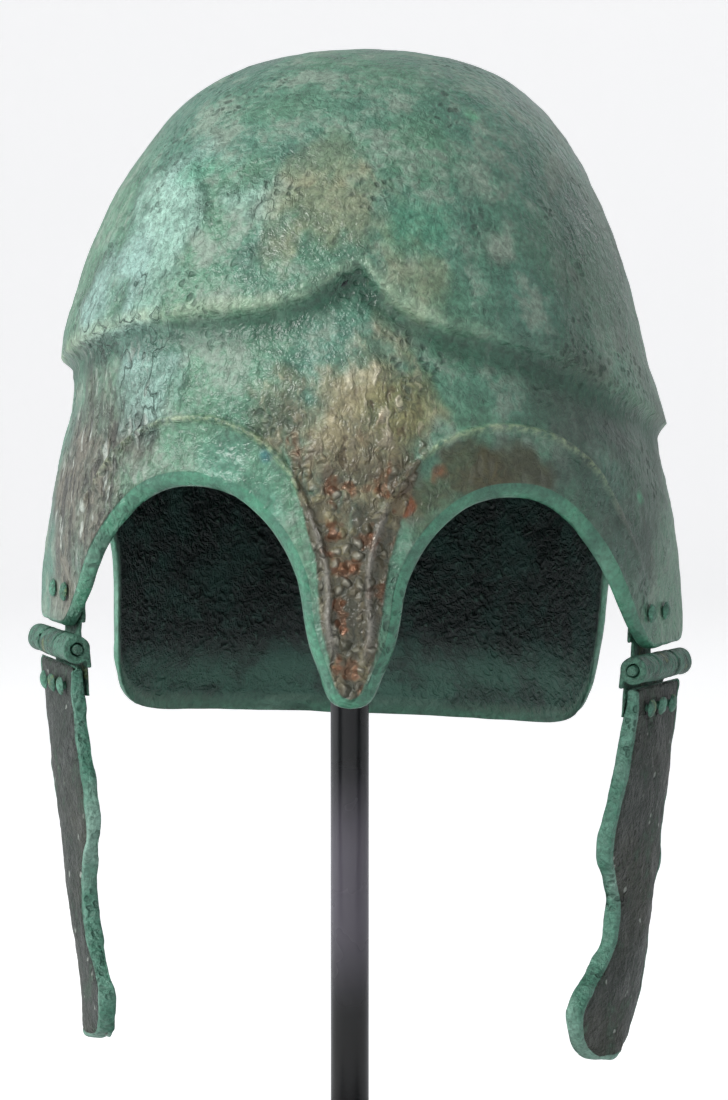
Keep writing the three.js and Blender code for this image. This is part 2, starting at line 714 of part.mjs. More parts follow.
function cheekLeaf() {
  const end = HINGE_LENGTH / 2;
  const inner = MIDDLE_KNUCKLE / 2 + FIT_GAP;
  const face = -CHEEK_EDGE / 2 - FIT_GAP;
  const strapHalf = CHEEK_LEAF_WIDTH / 2;
  const strap = [face - LEAF_WALL, face];
  const clear = KNUCKLE_RADIUS + SWING_GAP;
  const footEnd = -clear - LEAF_OVERLAP;
  const bottom = -CHEEK_LEAF_HEIGHT;
  return [
    knuckle(-end, -inner),
    knuckle(inner, end),
    boxAt([strap[0], -strapHalf, bottom], [strap[1], strapHalf, -clear]),
    boxAt([strap[0], -end, footEnd], [strap[1], -inner, 0]),
    boxAt([strap[0], inner, footEnd], [strap[1], end, 0]),
  ];
}

function cheekRivets() {
  const outer = CHEEK_EDGE / 2;
  const inner = -CHEEK_EDGE / 2 - FIT_GAP - LEAF_WALL;
  return [-1, 0, 1].map((place) => ({
    along: place * CHEEK_RIVET_SPACING,
    level: -CHEEK_RIVET_DROP,
    outer,
    inner,
  }));
}

function joined(parts) {
  const [first, ...rest] = parts.map(solidOf);
  return rest.reduce((sum, part) => sum.add(part), first);
}

function cutBy(solid, holes) {
  return holes.map(solidOf).reduce((sum, hole) => sum.subtract(hole), solid);
}

// Stand pieces: the pad fits the crown, the rod carries it, the base carries the rod
function crownHeight(x, y) {
  let low = 0.001;
  let high = 8;
  for (let i = 0; i < 40; i += 1) {
    const row = (low + high) / 2;
    const half = sectionValue("half", row);
    const reach = sectionValue(y < 0 ? "front" : "back", row);
    const aside = Math.abs(x - sectionValue("sway", row)) / half;
    const along = Math.abs(y) / reach;
    if (aside ** SQUARENESS + along ** SQUARENESS > 1) low = row;
    else high = row;
  }
  return sectionValue("level", (low + high) / 2);
}

function padGeometry(x, y) {
  const rings = [];
  const ceiling = (px, py) => {
    const slopeX = crownHeight(px + 1, py) - crownHeight(px - 1, py);
    const slopeY = crownHeight(px, py + 1) - crownHeight(px, py - 1);
    const steep = Math.hypot(1, slopeX / 2, slopeY / 2);
    return crownHeight(px, py) - (WALL + PAD_GAP) * steep;
  };
  const ringAt = (radius, height) => {
    const ring = [];
    for (let i = 0; i < ROD_ROUND; i += 1) {
      const angle = (2 * Math.PI * i) / ROD_ROUND;
      const px = x + radius * Math.cos(angle);
      const py = y + radius * Math.sin(angle);
      ring.push(new THREE.Vector3(px, py, height ?? ceiling(px, py)));
    }
    return ring;
  };
  const under = ceiling(x, y) - PAD_DEPTH;
  for (const share of [0.4, 0.75, 1]) rings.push(ringAt(share * PAD_RADIUS));
  rings.push(ringAt(PAD_RADIUS * PAD_TAPER, under));
  const top = new THREE.Vector3(x, y, ceiling(x, y));
  return {
    geometry: skinOf(rings, top, new THREE.Vector3(x, y, under)),
    under,
  };
}

function rodGeometry(top) {
  const rod = cylinderAlongY(ROD_RADIUS, top - SOCKET_FLOOR, ROD_ROUND);
  rod.rotateX(Math.PI / 2);
  rod.translate(0, 0, (top + SOCKET_FLOOR) / 2);
  return rod;
}

function baseGeometry() {
  const half = BASE_SIDE / 2 - BASE_BEVEL;
  const plate = new THREE.Shape([
    new THREE.Vector2(-half, -half),
    new THREE.Vector2(half, -half),
    new THREE.Vector2(half, half),
    new THREE.Vector2(-half, half),
  ]);
  const body = new THREE.ExtrudeGeometry(plate, {
    depth: BASE_HEIGHT - 2 * BASE_BEVEL,
    bevelThickness: BASE_BEVEL,
    bevelSize: BASE_BEVEL,
    bevelSegments: 2,
  });
  body.translate(0, 0, BASE_BEVEL);
  const socket = cylinderAlongY(ROD_RADIUS + FIT_GAP, BASE_HEIGHT, ROD_ROUND);
  socket.rotateX(Math.PI / 2);
  socket.translate(0, 0, BASE_HEIGHT / 2 + SOCKET_FLOOR - FIT_GAP);
  return geometryOf(solidOf(body).subtract(solidOf(socket)));
}

function piece(name, geometry, finish) {
  const mesh = new THREE.Mesh(geometry, new THREE.MeshStandardMaterial(finish));
  mesh.name = name;
  return mesh;
}

const model = new THREE.Group();
const yawed = new THREE.Group();
yawed.position.set(HELMET_ASIDE, -HELMET_FORWARD, HINGE_HEIGHT);
yawed.rotation.z = -HELMET_YAW * DEGREE;
const helmet = new THREE.Group();
helmet.rotation.y = HELMET_ROLL * DEGREE;
yawed.add(helmet);
model.add(yawed);

const rings = bowlRings();
const crown = bowlPoint(0, DOME_HEIGHT, 0);
const ceiling = bowlPoint(0, DOME_HEIGHT, WALL);
let bowl = solidOf(skinOf(rings, crown, ceiling));

for (const side of SIDES) {
  const { x, y, turn } = hingePlace(side.sign);
  const hinge = new THREE.Group();
  hinge.position.set(x, y, 0);
  hinge.rotation.z = turn;
  helmet.add(hinge);

  const leaf = bowlLeaf(side);
  const rivets = bowlRivets(side, leaf.face);
  const leafSolid = cutBy(joined(leaf.parts), rivets.map(rivetHole));
  const leafShape = sided(geometryOf(leafSolid), side.sign);
  hinge.add(piece(`bowl_hinge_leaf_${side.name}`, leafShape, HINGE_BRONZE));
  hinge.updateMatrix();
  rivets.forEach((place, i) => {
    const shape = sided(rivet(place), side.sign);
    const name = `bowl_rivet_${side.name}_${i + 1}`;
    hinge.add(piece(name, shape, HINGE_BRONZE));
    const hole = sided(rivetHole(place), side.sign).applyMatrix4(hinge.matrix);
    bowl = bowl.subtract(solidOf(hole));
  });

  const pinLength = HINGE_LENGTH + 2 * PIN_OVERHANG;
  const pin = cylinderAlongY(BORE - PIN_GAP, pinLength, ROUND);
  hinge.add(piece(`hinge_pin_${side.name}`, pin, HINGE_BRONZE));

  const swing = new THREE.Group();
  swing.rotation.y = side.sign * side.lean * DEGREE;
  hinge.add(swing);
  const places = cheekRivets();
  const holes = places.map(rivetHole);
  const plate = cutBy(solidOf(cheekPlate(side)), holes);
  const plateShape = sided(geometryOf(plate), side.sign);
  swing.add(piece(`cheek_piece_${side.name}`, plateShape, CHEEK_BRONZE));
  const strap = sided(geometryOf(cutBy(joined(cheekLeaf()), holes)), side.sign);
  swing.add(piece(`cheek_hinge_leaf_${side.name}`, strap, HINGE_BRONZE));
  places.forEach((place, i) => {
    const shape = sided(rivet(place), side.sign);
    swing.add(piece(`cheek_rivet_${side.name}_${i + 1}`, shape, HINGE_BRONZE));
  });
}
helmet.add(piece("helmet_bowl", geometryOf(bowl), BRONZE));

model.updateMatrixWorld(true);
const overRod = helmet.worldToLocal(
  new THREE.Vector3(0, 0, HINGE_HEIGHT + DOME_HEIGHT),
);
const pad = padGeometry(overRod.x, overRod.y);
helmet.add(piece("stand_pad", pad.geometry, BLACK_RUBBER));
const underPad = helmet.localToWorld(
  new THREE.Vector3(overRod.x, overRod.y, pad.under),
);
model.add(piece("stand_rod", rodGeometry(underPad.z - ROD_GAP), BLACK_STEEL));
model.add(piece("stand_base", baseGeometry(), BLACK_STEEL));

export default model;
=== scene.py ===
"""Ancient bronze chalcidian helmet with hinged cheek pieces, on a rod stand."""

import math

import bpy
import numpy as np
from bpy.props import FloatProperty, FloatVectorProperty, PointerProperty
from mathutils import Matrix, Vector
from mathutils.kdtree import KDTree


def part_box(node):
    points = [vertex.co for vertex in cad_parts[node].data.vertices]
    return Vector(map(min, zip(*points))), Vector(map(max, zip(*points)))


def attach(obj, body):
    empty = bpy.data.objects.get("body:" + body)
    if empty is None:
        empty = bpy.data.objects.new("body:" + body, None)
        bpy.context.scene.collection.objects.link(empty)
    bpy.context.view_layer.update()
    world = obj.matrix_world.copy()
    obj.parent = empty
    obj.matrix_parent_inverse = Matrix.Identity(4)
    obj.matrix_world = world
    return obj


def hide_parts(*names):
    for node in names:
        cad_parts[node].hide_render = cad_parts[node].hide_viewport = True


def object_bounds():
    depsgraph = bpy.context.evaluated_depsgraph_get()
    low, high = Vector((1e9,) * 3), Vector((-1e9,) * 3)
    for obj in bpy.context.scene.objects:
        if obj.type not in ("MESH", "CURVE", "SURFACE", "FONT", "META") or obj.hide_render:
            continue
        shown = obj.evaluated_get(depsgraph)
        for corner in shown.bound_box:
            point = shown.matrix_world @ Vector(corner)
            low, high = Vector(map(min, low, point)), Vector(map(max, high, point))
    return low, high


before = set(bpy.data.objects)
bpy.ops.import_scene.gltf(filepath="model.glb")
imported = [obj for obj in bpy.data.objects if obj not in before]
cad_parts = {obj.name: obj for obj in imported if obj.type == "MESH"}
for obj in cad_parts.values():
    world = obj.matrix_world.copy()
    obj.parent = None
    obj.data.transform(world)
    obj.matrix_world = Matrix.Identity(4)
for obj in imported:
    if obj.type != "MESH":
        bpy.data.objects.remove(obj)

bl_info = {
    "name": "Chalcidian Helmet",
    "version": (1, 0, 0),
    "blender": (4, 5, 0),
    "location": "View3D > Sidebar > Helmet",
    "description": "Builds an old bronze helmet with hinged cheek pieces and its stand",
    "category": "Add Mesh",
}

CAD_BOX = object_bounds()
MM = 0.001

# Bowl, in millimetres. Levels are measured up from the axis of the hinges, and +X is the
# wearer's left.
DOME_HEIGHT = 183
HALF_WIDTH = 93
FRONT_REACH = 110
BACK_REACH = 116
SQUARENESS = 2.2  # 2 is an ellipse in plan
SWAY = 3.3  # how far the dented bowl leans to one side
NAPE_SWAY = -2.3
NAPE_PINCH = 0.1
NAPE_TOP, NAPE_FADE = 0.4, 0.3  # shares of the dome's height
NAPE_START, NAPE_TURN = 85, 30  # degrees round from the nose
GUARD_DROP = 31.5
NOSE_DROP = 10
EYE_TOP = 54
EAR_TOP = 45
TAB_LEVEL = 6.2
RIM_FADE = 9
RIDGE_STEP = 5.5
RIDGE_ROUND = 2.2  # how sharply the crest turns over
RECESS_FADE = 24
RIDGE_TURN = 2.2  # degrees that the ridge's peak sits off the middle
NOSE_TURN = 0.3
TAB_FLAT, TAB_TURN = 2.4, 17  # depth in millimetres, half width in degrees
TAB_TOP, TAB_FADE = 11, 27

# Hinges and rivets, in millimetres
HINGE_AZIMUTH = 66
HINGE_ANGLE = 22
HINGE_INSET = 1.0
HINGE_LENGTH = 42
MIDDLE_KNUCKLE = 16
PIN_GAP = 0.35
PIN_OVERHANG = 1.4
LEAF_WALL = 1.3
BORE = 1.95
BOWL_LEAF_WIDTH, BOWL_LEAF_HEIGHT, BOWL_LEAF_SHOULDER = 23, 21, 7
CHEEK_LEAF_WIDTH, CHEEK_LEAF_HEIGHT = 33, 15
FIT_GAP = 0.35
SWING_GAP = 0.8
SHANK_RADIUS = 1.2
BOWL_RIVET_SPACING, BOWL_RIVET_LEVEL = 14, 16
CHEEK_RIVET_SPACING, CHEEK_RIVET_DROP = 9.5, 11.5

# Cheek pieces, in millimetres
CHEEK_LENGTH = 116.5
CHEEK_WIDTH = 44
CHEEK_EDGE_FADE, CHEEK_TIP_FADE = 0.3, 0.09
CHEEK_BOW, CHEEK_BOW_START = 3, 0.3

# Where the helmet hangs on its stand, in millimetres and degrees
HINGE_HEIGHT = 190
HELMET_ASIDE = 2
HELMET_FORWARD = 5
HELMET_ROLL = 2
HELMET_YAW = 2
SOCKET_FLOOR = 5

# Horizontal sections of the bowl, from the crown down. Levels above the hinges are shares of
# DOME_HEIGHT and those below are shares of GUARD_DROP; sway is a share of SWAY.
SECTIONS = np.array(
    [  # level, half width, front, back, sway
        (1.0, 0.0, 0.0, 0.0, 0.3),
        (0.972, 0.345, 0.35, 0.35, 0.0),
        (0.917, 0.55, 0.56, 0.57, -0.5),
        (0.84, 0.69, 0.7, 0.72, -0.7),
        (0.747, 0.799, 0.81, 0.83, -1.0),
        (0.663, 0.872, 0.885, 0.91, -1.0),
        (0.578, 0.924, 0.935, 0.96, -1.0),
        (0.51, 0.954, 0.962, 0.985, -0.9),
        (0.437, 0.976, 0.98, 1.0, -0.4),
        (0.361, 0.994, 0.99, 1.0, 0.3),
        (0.273, 1.018, 1.0, 0.98, 0.3),
        (0.137, 1.055, 1.015, 0.925, 0.45),
        (0.033, 1.075, 1.03, 0.885, 0.6),
        (-0.25, 1.08, 1.04, 0.87, 0.6),
        (-0.62, 1.085, 1.05, 0.915, 0.6),
        (-1.1, 1.09, 1.055, 0.985, 0.6),
    ]
)

# Crest of the brow ridge: degrees round from the nose, and the level on each side as a share
# of DOME_HEIGHT.
RIDGE = np.array(
    [  # azimuth, wearer's right, wearer's left
        (0, 0.625, 0.625),
        (4, 0.6, 0.588),
        (9, 0.572, 0.557),
        (16, 0.555, 0.535),
        (25, 0.548, 0.522),
        (36, 0.534, 0.5),
        (46, 0.523, 0.475),
        (58, 0.5, 0.437),
        (72, 0.475, 0.405),
        (88, 0.455, 0.385),
        (115, 0.43, 0.385),
        (145, 0.415, 0.395),
        (180, 0.405, 0.405),
    ]
)

# Lower outline of the bowl from the nose's tip round to the back. The band is a share of the
# rim band's width.
OUTLINE = np.array(
    [  # azimuth on the wearer's left and right, level, band
        (0, 0, -0.76 * NOSE_DROP, 0.6),
        (1.5, 1.5, -0.55 * NOSE_DROP, 0.9),
        (2.8, 2.8, 0.02 * EYE_TOP, 0.9),
        (4.2, 4.2, 0.15 * EYE_TOP, 0.9),
        (5.0, 5.0, 0.27 * EYE_TOP, 0.9),
        (5.4, 5.4, 0.39 * EYE_TOP, 1.0),
        (6.4, 6.4, 0.52 * EYE_TOP, 1.0),
        (8.9, 8.9, 0.68 * EYE_TOP, 1.0),
        (12.6, 12.6, 0.82 * EYE_TOP, 1.0),
        (17.7, 17.7, 0.935 * EYE_TOP, 1.0),
        (24.2, 24.5, 0.99 * EYE_TOP, 1.0),
        (31.8, 32.5, 0.98 * EYE_TOP, 1.0),
        (38.4, 39.5, 0.9 * EYE_TOP, 1.0),
        (44.2, 45.5, 0.76 * EYE_TOP, 1.0),
        (49.3, 50.6, 0.58 * EYE_TOP, 1.0),
        (53.4, 54.6, 0.4 * EYE_TOP, 1.0),
        (57.8, 58.6, 0.25 * EYE_TOP, 0.8),
        (62.6, 62.6, 1.15 * TAB_LEVEL, 0.3),
        (68.0, 68.0, 1.0 * TAB_LEVEL, 0.1),
        (74.0, 74.0, 1.0 * TAB_LEVEL, 0.1),
        (79.5, 79.5, 1.1 * TAB_LEVEL, 0.2),
        (82.0, 82.0, 0.3 * EAR_TOP, 0.7),
        (84.5, 84.5, 0.6 * EAR_TOP, 0.7),
        (89.5, 89.5, 0.88 * EAR_TOP, 0.7),
        (97.0, 97.0, 1.0 * EAR_TOP, 0.7),
        (104.5, 104.5, 0.9 * EAR_TOP, 0.7),
        (111.5, 111.5, 0.66 * EAR_TOP, 0.7),
        (117.0, 115.5, 0.32 * EAR_TOP, 0.7),
        (120.5, 117.5, -0.1 * GUARD_DROP, 0.7),
        (123.5, 119.0, -0.52 * GUARD_DROP, 0.7),
        (128.0, 123.0, -0.82 * GUARD_DROP, 0.5),
        (135.0, 131.0, -0.94 * GUARD_DROP, 0.4),
        (146.0, 143.0, -0.97 * GUARD_DROP, 0.4),
        (162.5, 161.0, -0.99 * GUARD_DROP, 0.4),
        (180.0, 180.0, -1.0 * GUARD_DROP, 0.4),
    ]
)

# Eyebrow line: distance in millimetres from the outline on each side, and how much of its
# rise stands, against the row of OUTLINE that it passes.
EYEBROW = np.array(
    [  # outline row, wearer's right, wearer's left, rise
        (1.5, 3.4, 4.0, 0.0),
        (3.0, 4.0, 4.8, 0.7),
        (4.0, 4.5, 5.8, 1.0),
        (5.0, 5.3, 7.0, 1.0),
        (6.0, 6.4, 9.0, 1.0),
        (7.0, 8.4, 11.8, 1.0),
        (8.0, 11.5, 14.8, 1.0),
        (9.0, 14.8, 17.0, 1.0),
        (10.0, 16.4, 17.0, 1.0),
        (11.0, 15.8, 16.0, 0.9),
        (12.0, 15.0, 14.8, 0.8),
        (13.0, 14.2, 13.5, 0.6),
        (14.0, 13.2, 12.5, 0.35),
        (15.5, 12.5, 12.0, 0.0),
    ]
)

# Half width of the pitted panel down the nose, in millimetres either side of its middle
NOSE_PANEL = np.array(
    [  # level, half width, strength
        (-9, 1.0, 1.0),
        (-2, 4.5, 1.0),
        (8, 7.5, 1.0),
        (20, 9.0, 1.0),
        (32, 10.5, 1.0),
        (48, 15.0, 0.8),
        (62, 20.0, 0.45),
        (80, 24.0, 0.0),
    ]
)

# Outline of a cheek piece: drop as a share of CHEEK_LENGTH, edges as shares of CHEEK_WIDTH
CHEEK = np.array(
    [  # drop, front, rear
        (0.046, -0.47, 0.48),
        (0.11, -0.44, 0.47),
        (0.2, -0.48, 0.46),
        (0.3, -0.56, 0.455),
        (0.39, -0.645, 0.44),
        (0.46, -0.645, 0.43),
        (0.52, -0.53, 0.42),
        (0.585, -0.4, 0.405),
        (0.65, -0.365, 0.39),
        (0.72, -0.42, 0.37),
        (0.785, -0.63, 0.345),
        (0.845, -0.81, 0.32),
        (0.9, -0.79, 0.28),
        (0.95, -0.67, 0.19),
        (0.985, -0.5, 0.0),
        (1.0, -0.36, -0.16),
    ]
)

# Name, sign of X, and the degrees that the cheek piece leans in and that its tip is twisted
SIDES = (("left", 1, 4.2, 3), ("right", -1, 7.4, -8))

SKIN_INSET = 0.45  # keeps the smooth and lumpy skin inside the solids' flat faces
DEEPEST_PIT = 0.55  # deepest that the relief goes into the bowl
INNER_PLAY = 0.45  # furthest that the inner skin follows the outer one
BOX_GAP = 0.05  # kept between the bowl and the front of the solids' box
PANEL_EDGE = 2.4  # width over which the nose's pitted panel fades out
CHEEK_EDGE_INSET = 0.9  # depth of a cheek piece's rounded edge
CHEEK_SINK = 0.42  # keeps its lumpy skin inside the solid's flat faces

# Fineness of the meshes
OUTLINE_SPLIT = 16  # row of OUTLINE at which the fine columns of the face end
FACE_COLUMNS, SIDE_COLUMNS = 150, 95
DOME_ROWS, SKIRT_ROWS, BAND_ROWS, INNER_ROWS = 52, 84, 5, 34
CHEEK_ROWS, CHEEK_STEPS, CHEEK_ARC = 190, 44, 5


def linear(text):
    """Linear colour of a six-digit hex colour."""
    values = [int(text[i : i + 2], 16) / 255 for i in (0, 2, 4)]
    return tuple(((v + 0.055) / 1.055) ** 2.4 if v > 0.04 else v / 12.92 for v in values)


def size(name, default, description):
    """Length property in millimetres."""
    return FloatProperty(name=name, description=description, default=default, min=0)


def colour(name, text, description):
    """Colour property from a hex colour."""
    return FloatVectorProperty(
        name=name,
        description=description,
        subtype="COLOR",
        size=3,
        min=0,
        max=1,
        default=linear(text),
    )


class HelmetSizes(bpy.types.PropertyGroup):
    """Sizes of the helmet's relief and edges, in millimetres."""

    wall: size("Wall", 1.5, "Thickness of the bronze sheet (mm)")
    rim_wall: size("Rim wall", 3.2, "Thickness of the edges (mm)")
    rim_band: size("Rim band", 3.2, "Width of the band round the openings (mm)")
    ridge_rise: size("Ridge rise", 1.4, "Height of the brow ridge (mm)")
    ridge_recess: size("Ridge recess", 2.5, "Depth of the hollow under the ridge (mm)")
    brow_rise: size("Eyebrow rise", 1.5, "Height of the eyebrow lines (mm)")
    lumps: size("Lumps", 0.46, "Depth of the corroded surface's lumps (mm)")
    cheek_edge: size("Cheek edge", 4.8, "Thickness of a cheek piece's front edge (mm)")
    cheek_body: size("Cheek body", 2.8, "Thickness of a cheek piece (mm)")
    knuckle: size("Knuckle", 4.2, "Radius of the hinge knuckles (mm)")
    rivet_head: size("Rivet head", 2.9, "Radius of the rivet heads (mm)")
    rivet_height: size("Rivet height", 1.5, "Height of the rivet heads (mm)")


class StandSizes(bpy.types.PropertyGroup):
    """Sizes of the stand, in millimetres."""

    rod: size("Rod", 6, "Radius of the rod (mm)")
    base_side: size("Base side", 150, "Side of the base (mm)")
    base_height: size("Base height", 15, "Height of the base (mm)")
    base_bevel: size("Base bevel", 1.5, "Rounding of the base's edges (mm)")


class PatinaColours(bpy.types.PropertyGroup):
    """Colours of the patina and the stand."""

    green: colour("Green", "5C8B70", "Main green of the dome")
    teal: colour("Teal", "548370", "Cooler green between")
    grey: colour("Grey green", "7A9080", "Greyed patches")
    dark: colour("Dark green", "2B4238", "Pits and hollows")
    brown: colour("Brown", "6A5D48", "Nose guard's crust")
    copper: colour("Copper", "8A4F33", "Bare copper patches")
    chalk: colour("Chalk", "C9D2C8", "Mineral specks")
    rim: colour("Rim", "4C8F72", "Turquoise edges")
    slate: colour("Slate", "2A332D", "Cheek pieces")
    inside: colour("Inside", "10211F", "Inside of the bowl")
    black: colour("Black", "0B0C0D", "Stand")


def smooth(share):
    """Smooth step from 0 to 1."""
    t = np.clip(share, 0, 1)
    return t * t * (3 - 2 * t)


def mix(a, b, share):
    """Value a share of the way from a to b."""
    return a + (b - a) * share


def power(value, exponent):
    """Power that keeps the sign."""
    return np.sign(value) * np.abs(value) ** exponent


def spline(values, place):
    """Smooth curve through evenly numbered values."""
    values = np.asarray(values, float)
    place = np.asarray(place, float)
    i = np.clip(np.floor(place).astype(int), 0, len(values) - 2)
    t = place - i
    a, b, c, d = (values[np.clip(i + k, 0, len(values) - 1)] for k in (-1, 0, 1, 2))
    bend = 2 * a - 5 * b + 4 * c - d + t * (3 * (b - c) + d - a)
    return b + 0.5 * t * (c - a + t * bend)


def noise(points, lump, seed):
    """Smooth noise from about -1 to 1 at points in millimetres, in lumps of a size."""
    table = np.random.default_rng(seed).uniform(-1, 1, (32, 32, 32))
    turn = np.array(Matrix.Rotation(seed * 0.7 + 0.4, 3, Vector((1, 2, 0.6)).normalized()))
    place = points @ turn.T / lump + 160
    corner = np.floor(place).astype(int)
    t = place - corner
    t = t * t * (3 - 2 * t)
    total = np.zeros(len(points))
    for x, y, z in np.ndindex(2, 2, 2):
        weight = np.ones(len(points))
        for axis, upper in enumerate((x, y, z)):
            weight *= t[:, axis] if upper else 1 - t[:, axis]
        cell = (corner + (x, y, z)) % 32
        total += weight * table[cell[:, 0], cell[:, 1], cell[:, 2]]
    return total * 1.5


def layered(points, lump, seed, layers=3):
    """Noise with finer layers on top, from about -1 to 1."""
    total = np.zeros(len(points))
    for k in range(layers):
        total += noise(points, lump / 2.1**k, seed + k) * 0.55**k
    return total / 1.6


def section_columns():
    """Columns of the section table, with a mirrored row above the crown."""
    levels = SECTIONS[:, 0] * np.where(SECTIONS[:, 0] < 0, GUARD_DROP, DOME_HEIGHT)
    columns = {"level": np.concatenate(([levels[1]], levels))}
    for k, (key, reach) in enumerate((("half", HALF_WIDTH), ("front", FRONT_REACH), ("back", BACK_REACH))):
        values = SECTIONS[:, k + 1] * reach
        columns[key] = np.concatenate(([-values[1]], values))
    sways = SECTIONS[:, 4] * SWAY
    columns["sway"] = np.concatenate(([sways[1]], sways))
    return columns


COLUMNS = section_columns()
FINE_ROWS = np.linspace(0, len(SECTIONS) - 1, 4001)
FINE_LEVELS = spline(COLUMNS["level"], FINE_ROWS + 1)


def row_at(level):
    """Row of the section table at a level."""
    return np.interp(-np.asarray(level, float), -FINE_LEVELS, FINE_ROWS)


def plain_surface(azimuth, row):
    """Points of the bowl before its ridge and tabs are worked into it."""
    value = {key: spline(column, row + 1) for key, column in COLUMNS.items()}
    across = np.sin(np.radians(azimuth))
    along = np.cos(np.radians(azimuth))
    low = smooth((NAPE_TOP - value["level"] / DOME_HEIGHT) / NAPE_FADE)
    nape = smooth((np.abs(azimuth) - NAPE_START) / NAPE_TURN)
    half = value["half"] * (1 - NAPE_PINCH * low * nape)
    reach = np.where(along > 0, value["front"], value["back"])
    aside = value["sway"] + NAPE_SWAY * low * nape
    return np.stack(
        (
            half * power(across, 2 / SQUARENESS) + aside,
            -reach * power(along, 2 / SQUARENESS),
            value["level"],
        ),
        axis=-1,
    )


def unit(vectors):
    """Vectors made one long."""
    return vectors / np.maximum(np.linalg.norm(vectors, axis=-1, keepdims=True), 1e-9)


def plain_normal(azimuth, row):
    """Outward normals of the plain surface."""
    row = np.maximum(row, 0.02)
    down = plain_surface(azimuth, row + 0.01) - plain_surface(azimuth, row - 0.01)
    round_ = plain_surface(azimuth + 1, row) - plain_surface(azimuth - 1, row)
    return unit(np.cross(down, round_))


def turned(azimuth, turn):
    """Azimuth with the front of the helmet turned aside by some degrees."""
    return azimuth + turn * np.cos(np.radians(azimuth) / 2) ** 4


def crest_level(azimuth):
    """Level of the brow ridge's crest."""
    around = turned(azimuth, -RIDGE_TURN)
    place = np.interp(np.abs(around), RIDGE[:, 0], np.arange(len(RIDGE)))
    return DOME_HEIGHT * np.where(around < 0, spline(RIDGE[:, 1], place), spline(RIDGE[:, 2], place))


def worked_relief(azimuth, level, sizes):
    """How far the ridge, its hollow and the flat tabs move the wall out."""
    below = crest_level(azimuth) - level
    above = sizes.ridge_rise * smooth(1 + below / RECESS_FADE)
    drop = 1 - (1 - np.clip(below / RIDGE_STEP, 0, 1)) ** RIDGE_ROUND
    step = mix(sizes.ridge_rise, -sizes.ridge_recess, drop)
    under = -sizes.ridge_recess * (1 - smooth((below - RIDGE_STEP) / RECESS_FADE))
    relief = np.where(below < 0, above, np.where(below < RIDGE_STEP, step, under))
    aside = (np.abs(azimuth) - HINGE_AZIMUTH) / TAB_TURN
    low = 1 - smooth((level - TAB_TOP) / TAB_FADE)
    return relief - TAB_FLAT * low * smooth(1 - aside * aside)


def bowl_point(azimuth, level, depth, sizes):
    """Points of the wall, a depth inside its outer face."""
    azimuth, level = np.broadcast_arrays(np.asarray(azimuth, float), np.asarray(level, float))
    row = row_at(level)
    out = worked_relief(azimuth, level, sizes) - depth
    return plain_surface(azimuth, row) + plain_normal(azimuth, row) * out[..., None]


def outline_track(sign, sizes):
    """Fine steps along one side's outline: azimuth, level, band, table row, length, point."""
    row = np.linspace(0, len(OUTLINE) - 1, 2500)
    side = 0 if sign > 0 else 1
    azimuth = spline(turned(OUTLINE[:, side] * sign, NOSE_TURN), row)
    level = spline(OUTLINE[:, 2], row)
    band = spline(OUTLINE[:, 3], row) * sizes.rim_band
    point = bowl_point(azimuth, level, 0, sizes)
    steps = np.linalg.norm(np.diff(point, axis=0), axis=1)
    length = np.concatenate(([0], np.cumsum(steps)))
    return {"azimuth": azimuth, "level": level, "band": band, "row": row, "length": length, "point": point}


def outline_ring(sizes):
    """The outline as one ring of columns, from the nose round by +X, closer at the face."""
    sides = []
    for sign in (1, -1):
        track = outline_track(sign, sizes)
        split = np.interp(OUTLINE_SPLIT, track["row"], track["length"])
        face = np.linspace(0, split, FACE_COLUMNS, endpoint=False)
        rest = np.linspace(split, track["length"][-1], SIDE_COLUMNS)
        length = np.concatenate((face, rest))
        side = {
            key: np.interp(length, track["length"], track[key])
            for key in ("azimuth", "level", "band", "row")
        }
        side["straight"] = sign * 180 * length / length[-1]
        sides.append(side)
    return {
        key: np.concatenate((sides[0][key], sides[1][key][1:-1][::-1])) for key in sides[0]
    }


def eyebrow(points, azimuth, sizes):
    """Eyebrow line at points of the skirt: signed distance above it, and its strength."""
    tree_points, rows, signs = [], [], []
    for sign in (1, -1):
        track = outline_track(sign, sizes)
        keep = track["row"] < EYEBROW[-1, 0] + 2
        tree_points.append(track["point"][keep][::4])
        rows.append(track["row"][keep][::4])
        signs.append(np.full(len(rows[-1]), sign))
    tree_points, rows, signs = map(np.concatenate, (tree_points, rows, signs))
    tree = KDTree(len(tree_points))
    for i, point in enumerate(tree_points):
        tree.insert(point, i)
    tree.balance()
    away = np.full(len(points), 99.0)
    strength = np.zeros(len(points))
    near = np.flatnonzero(np.abs(azimuth) < 75)
    found = [tree.find(points[i]) for i in near]
    index = np.array([f[1] for f in found])
    distance = np.array([f[2] for f in found])
    right = np.interp(rows[index], EYEBROW[:, 0], EYEBROW[:, 1])
    left = np.interp(rows[index], EYEBROW[:, 0], EYEBROW[:, 2])
    line = np.where(signs[index] > 0, left, right)
    away[near] = distance - line
    strength[near] = np.interp(rows[index], EYEBROW[:, 0], EYEBROW[:, 3], left=0, right=0)
    return away, strength


def bowl_middle(level):
    """X of the nose's middle line at a level."""
    aside = spline(COLUMNS["sway"], row_at(level) + 1)
    return aside + FRONT_REACH * math.sin(math.radians(NOSE_TURN)) * 0.9


def nose_panel(azimuth, level, points):
    """How much of the nose's pitted panel is at points."""
    middle = bowl_middle(level)
    half = np.interp(level, NOSE_PANEL[:, 0], NOSE_PANEL[:, 1])
    strength = np.interp(level, NOSE_PANEL[:, 0], NOSE_PANEL[:, 2])
    inside = smooth((half + PANEL_EDGE / 2 - np.abs(points[:, 0] - middle)) / PANEL_EDGE)
    return inside * strength * (np.abs(azimuth) < 40)


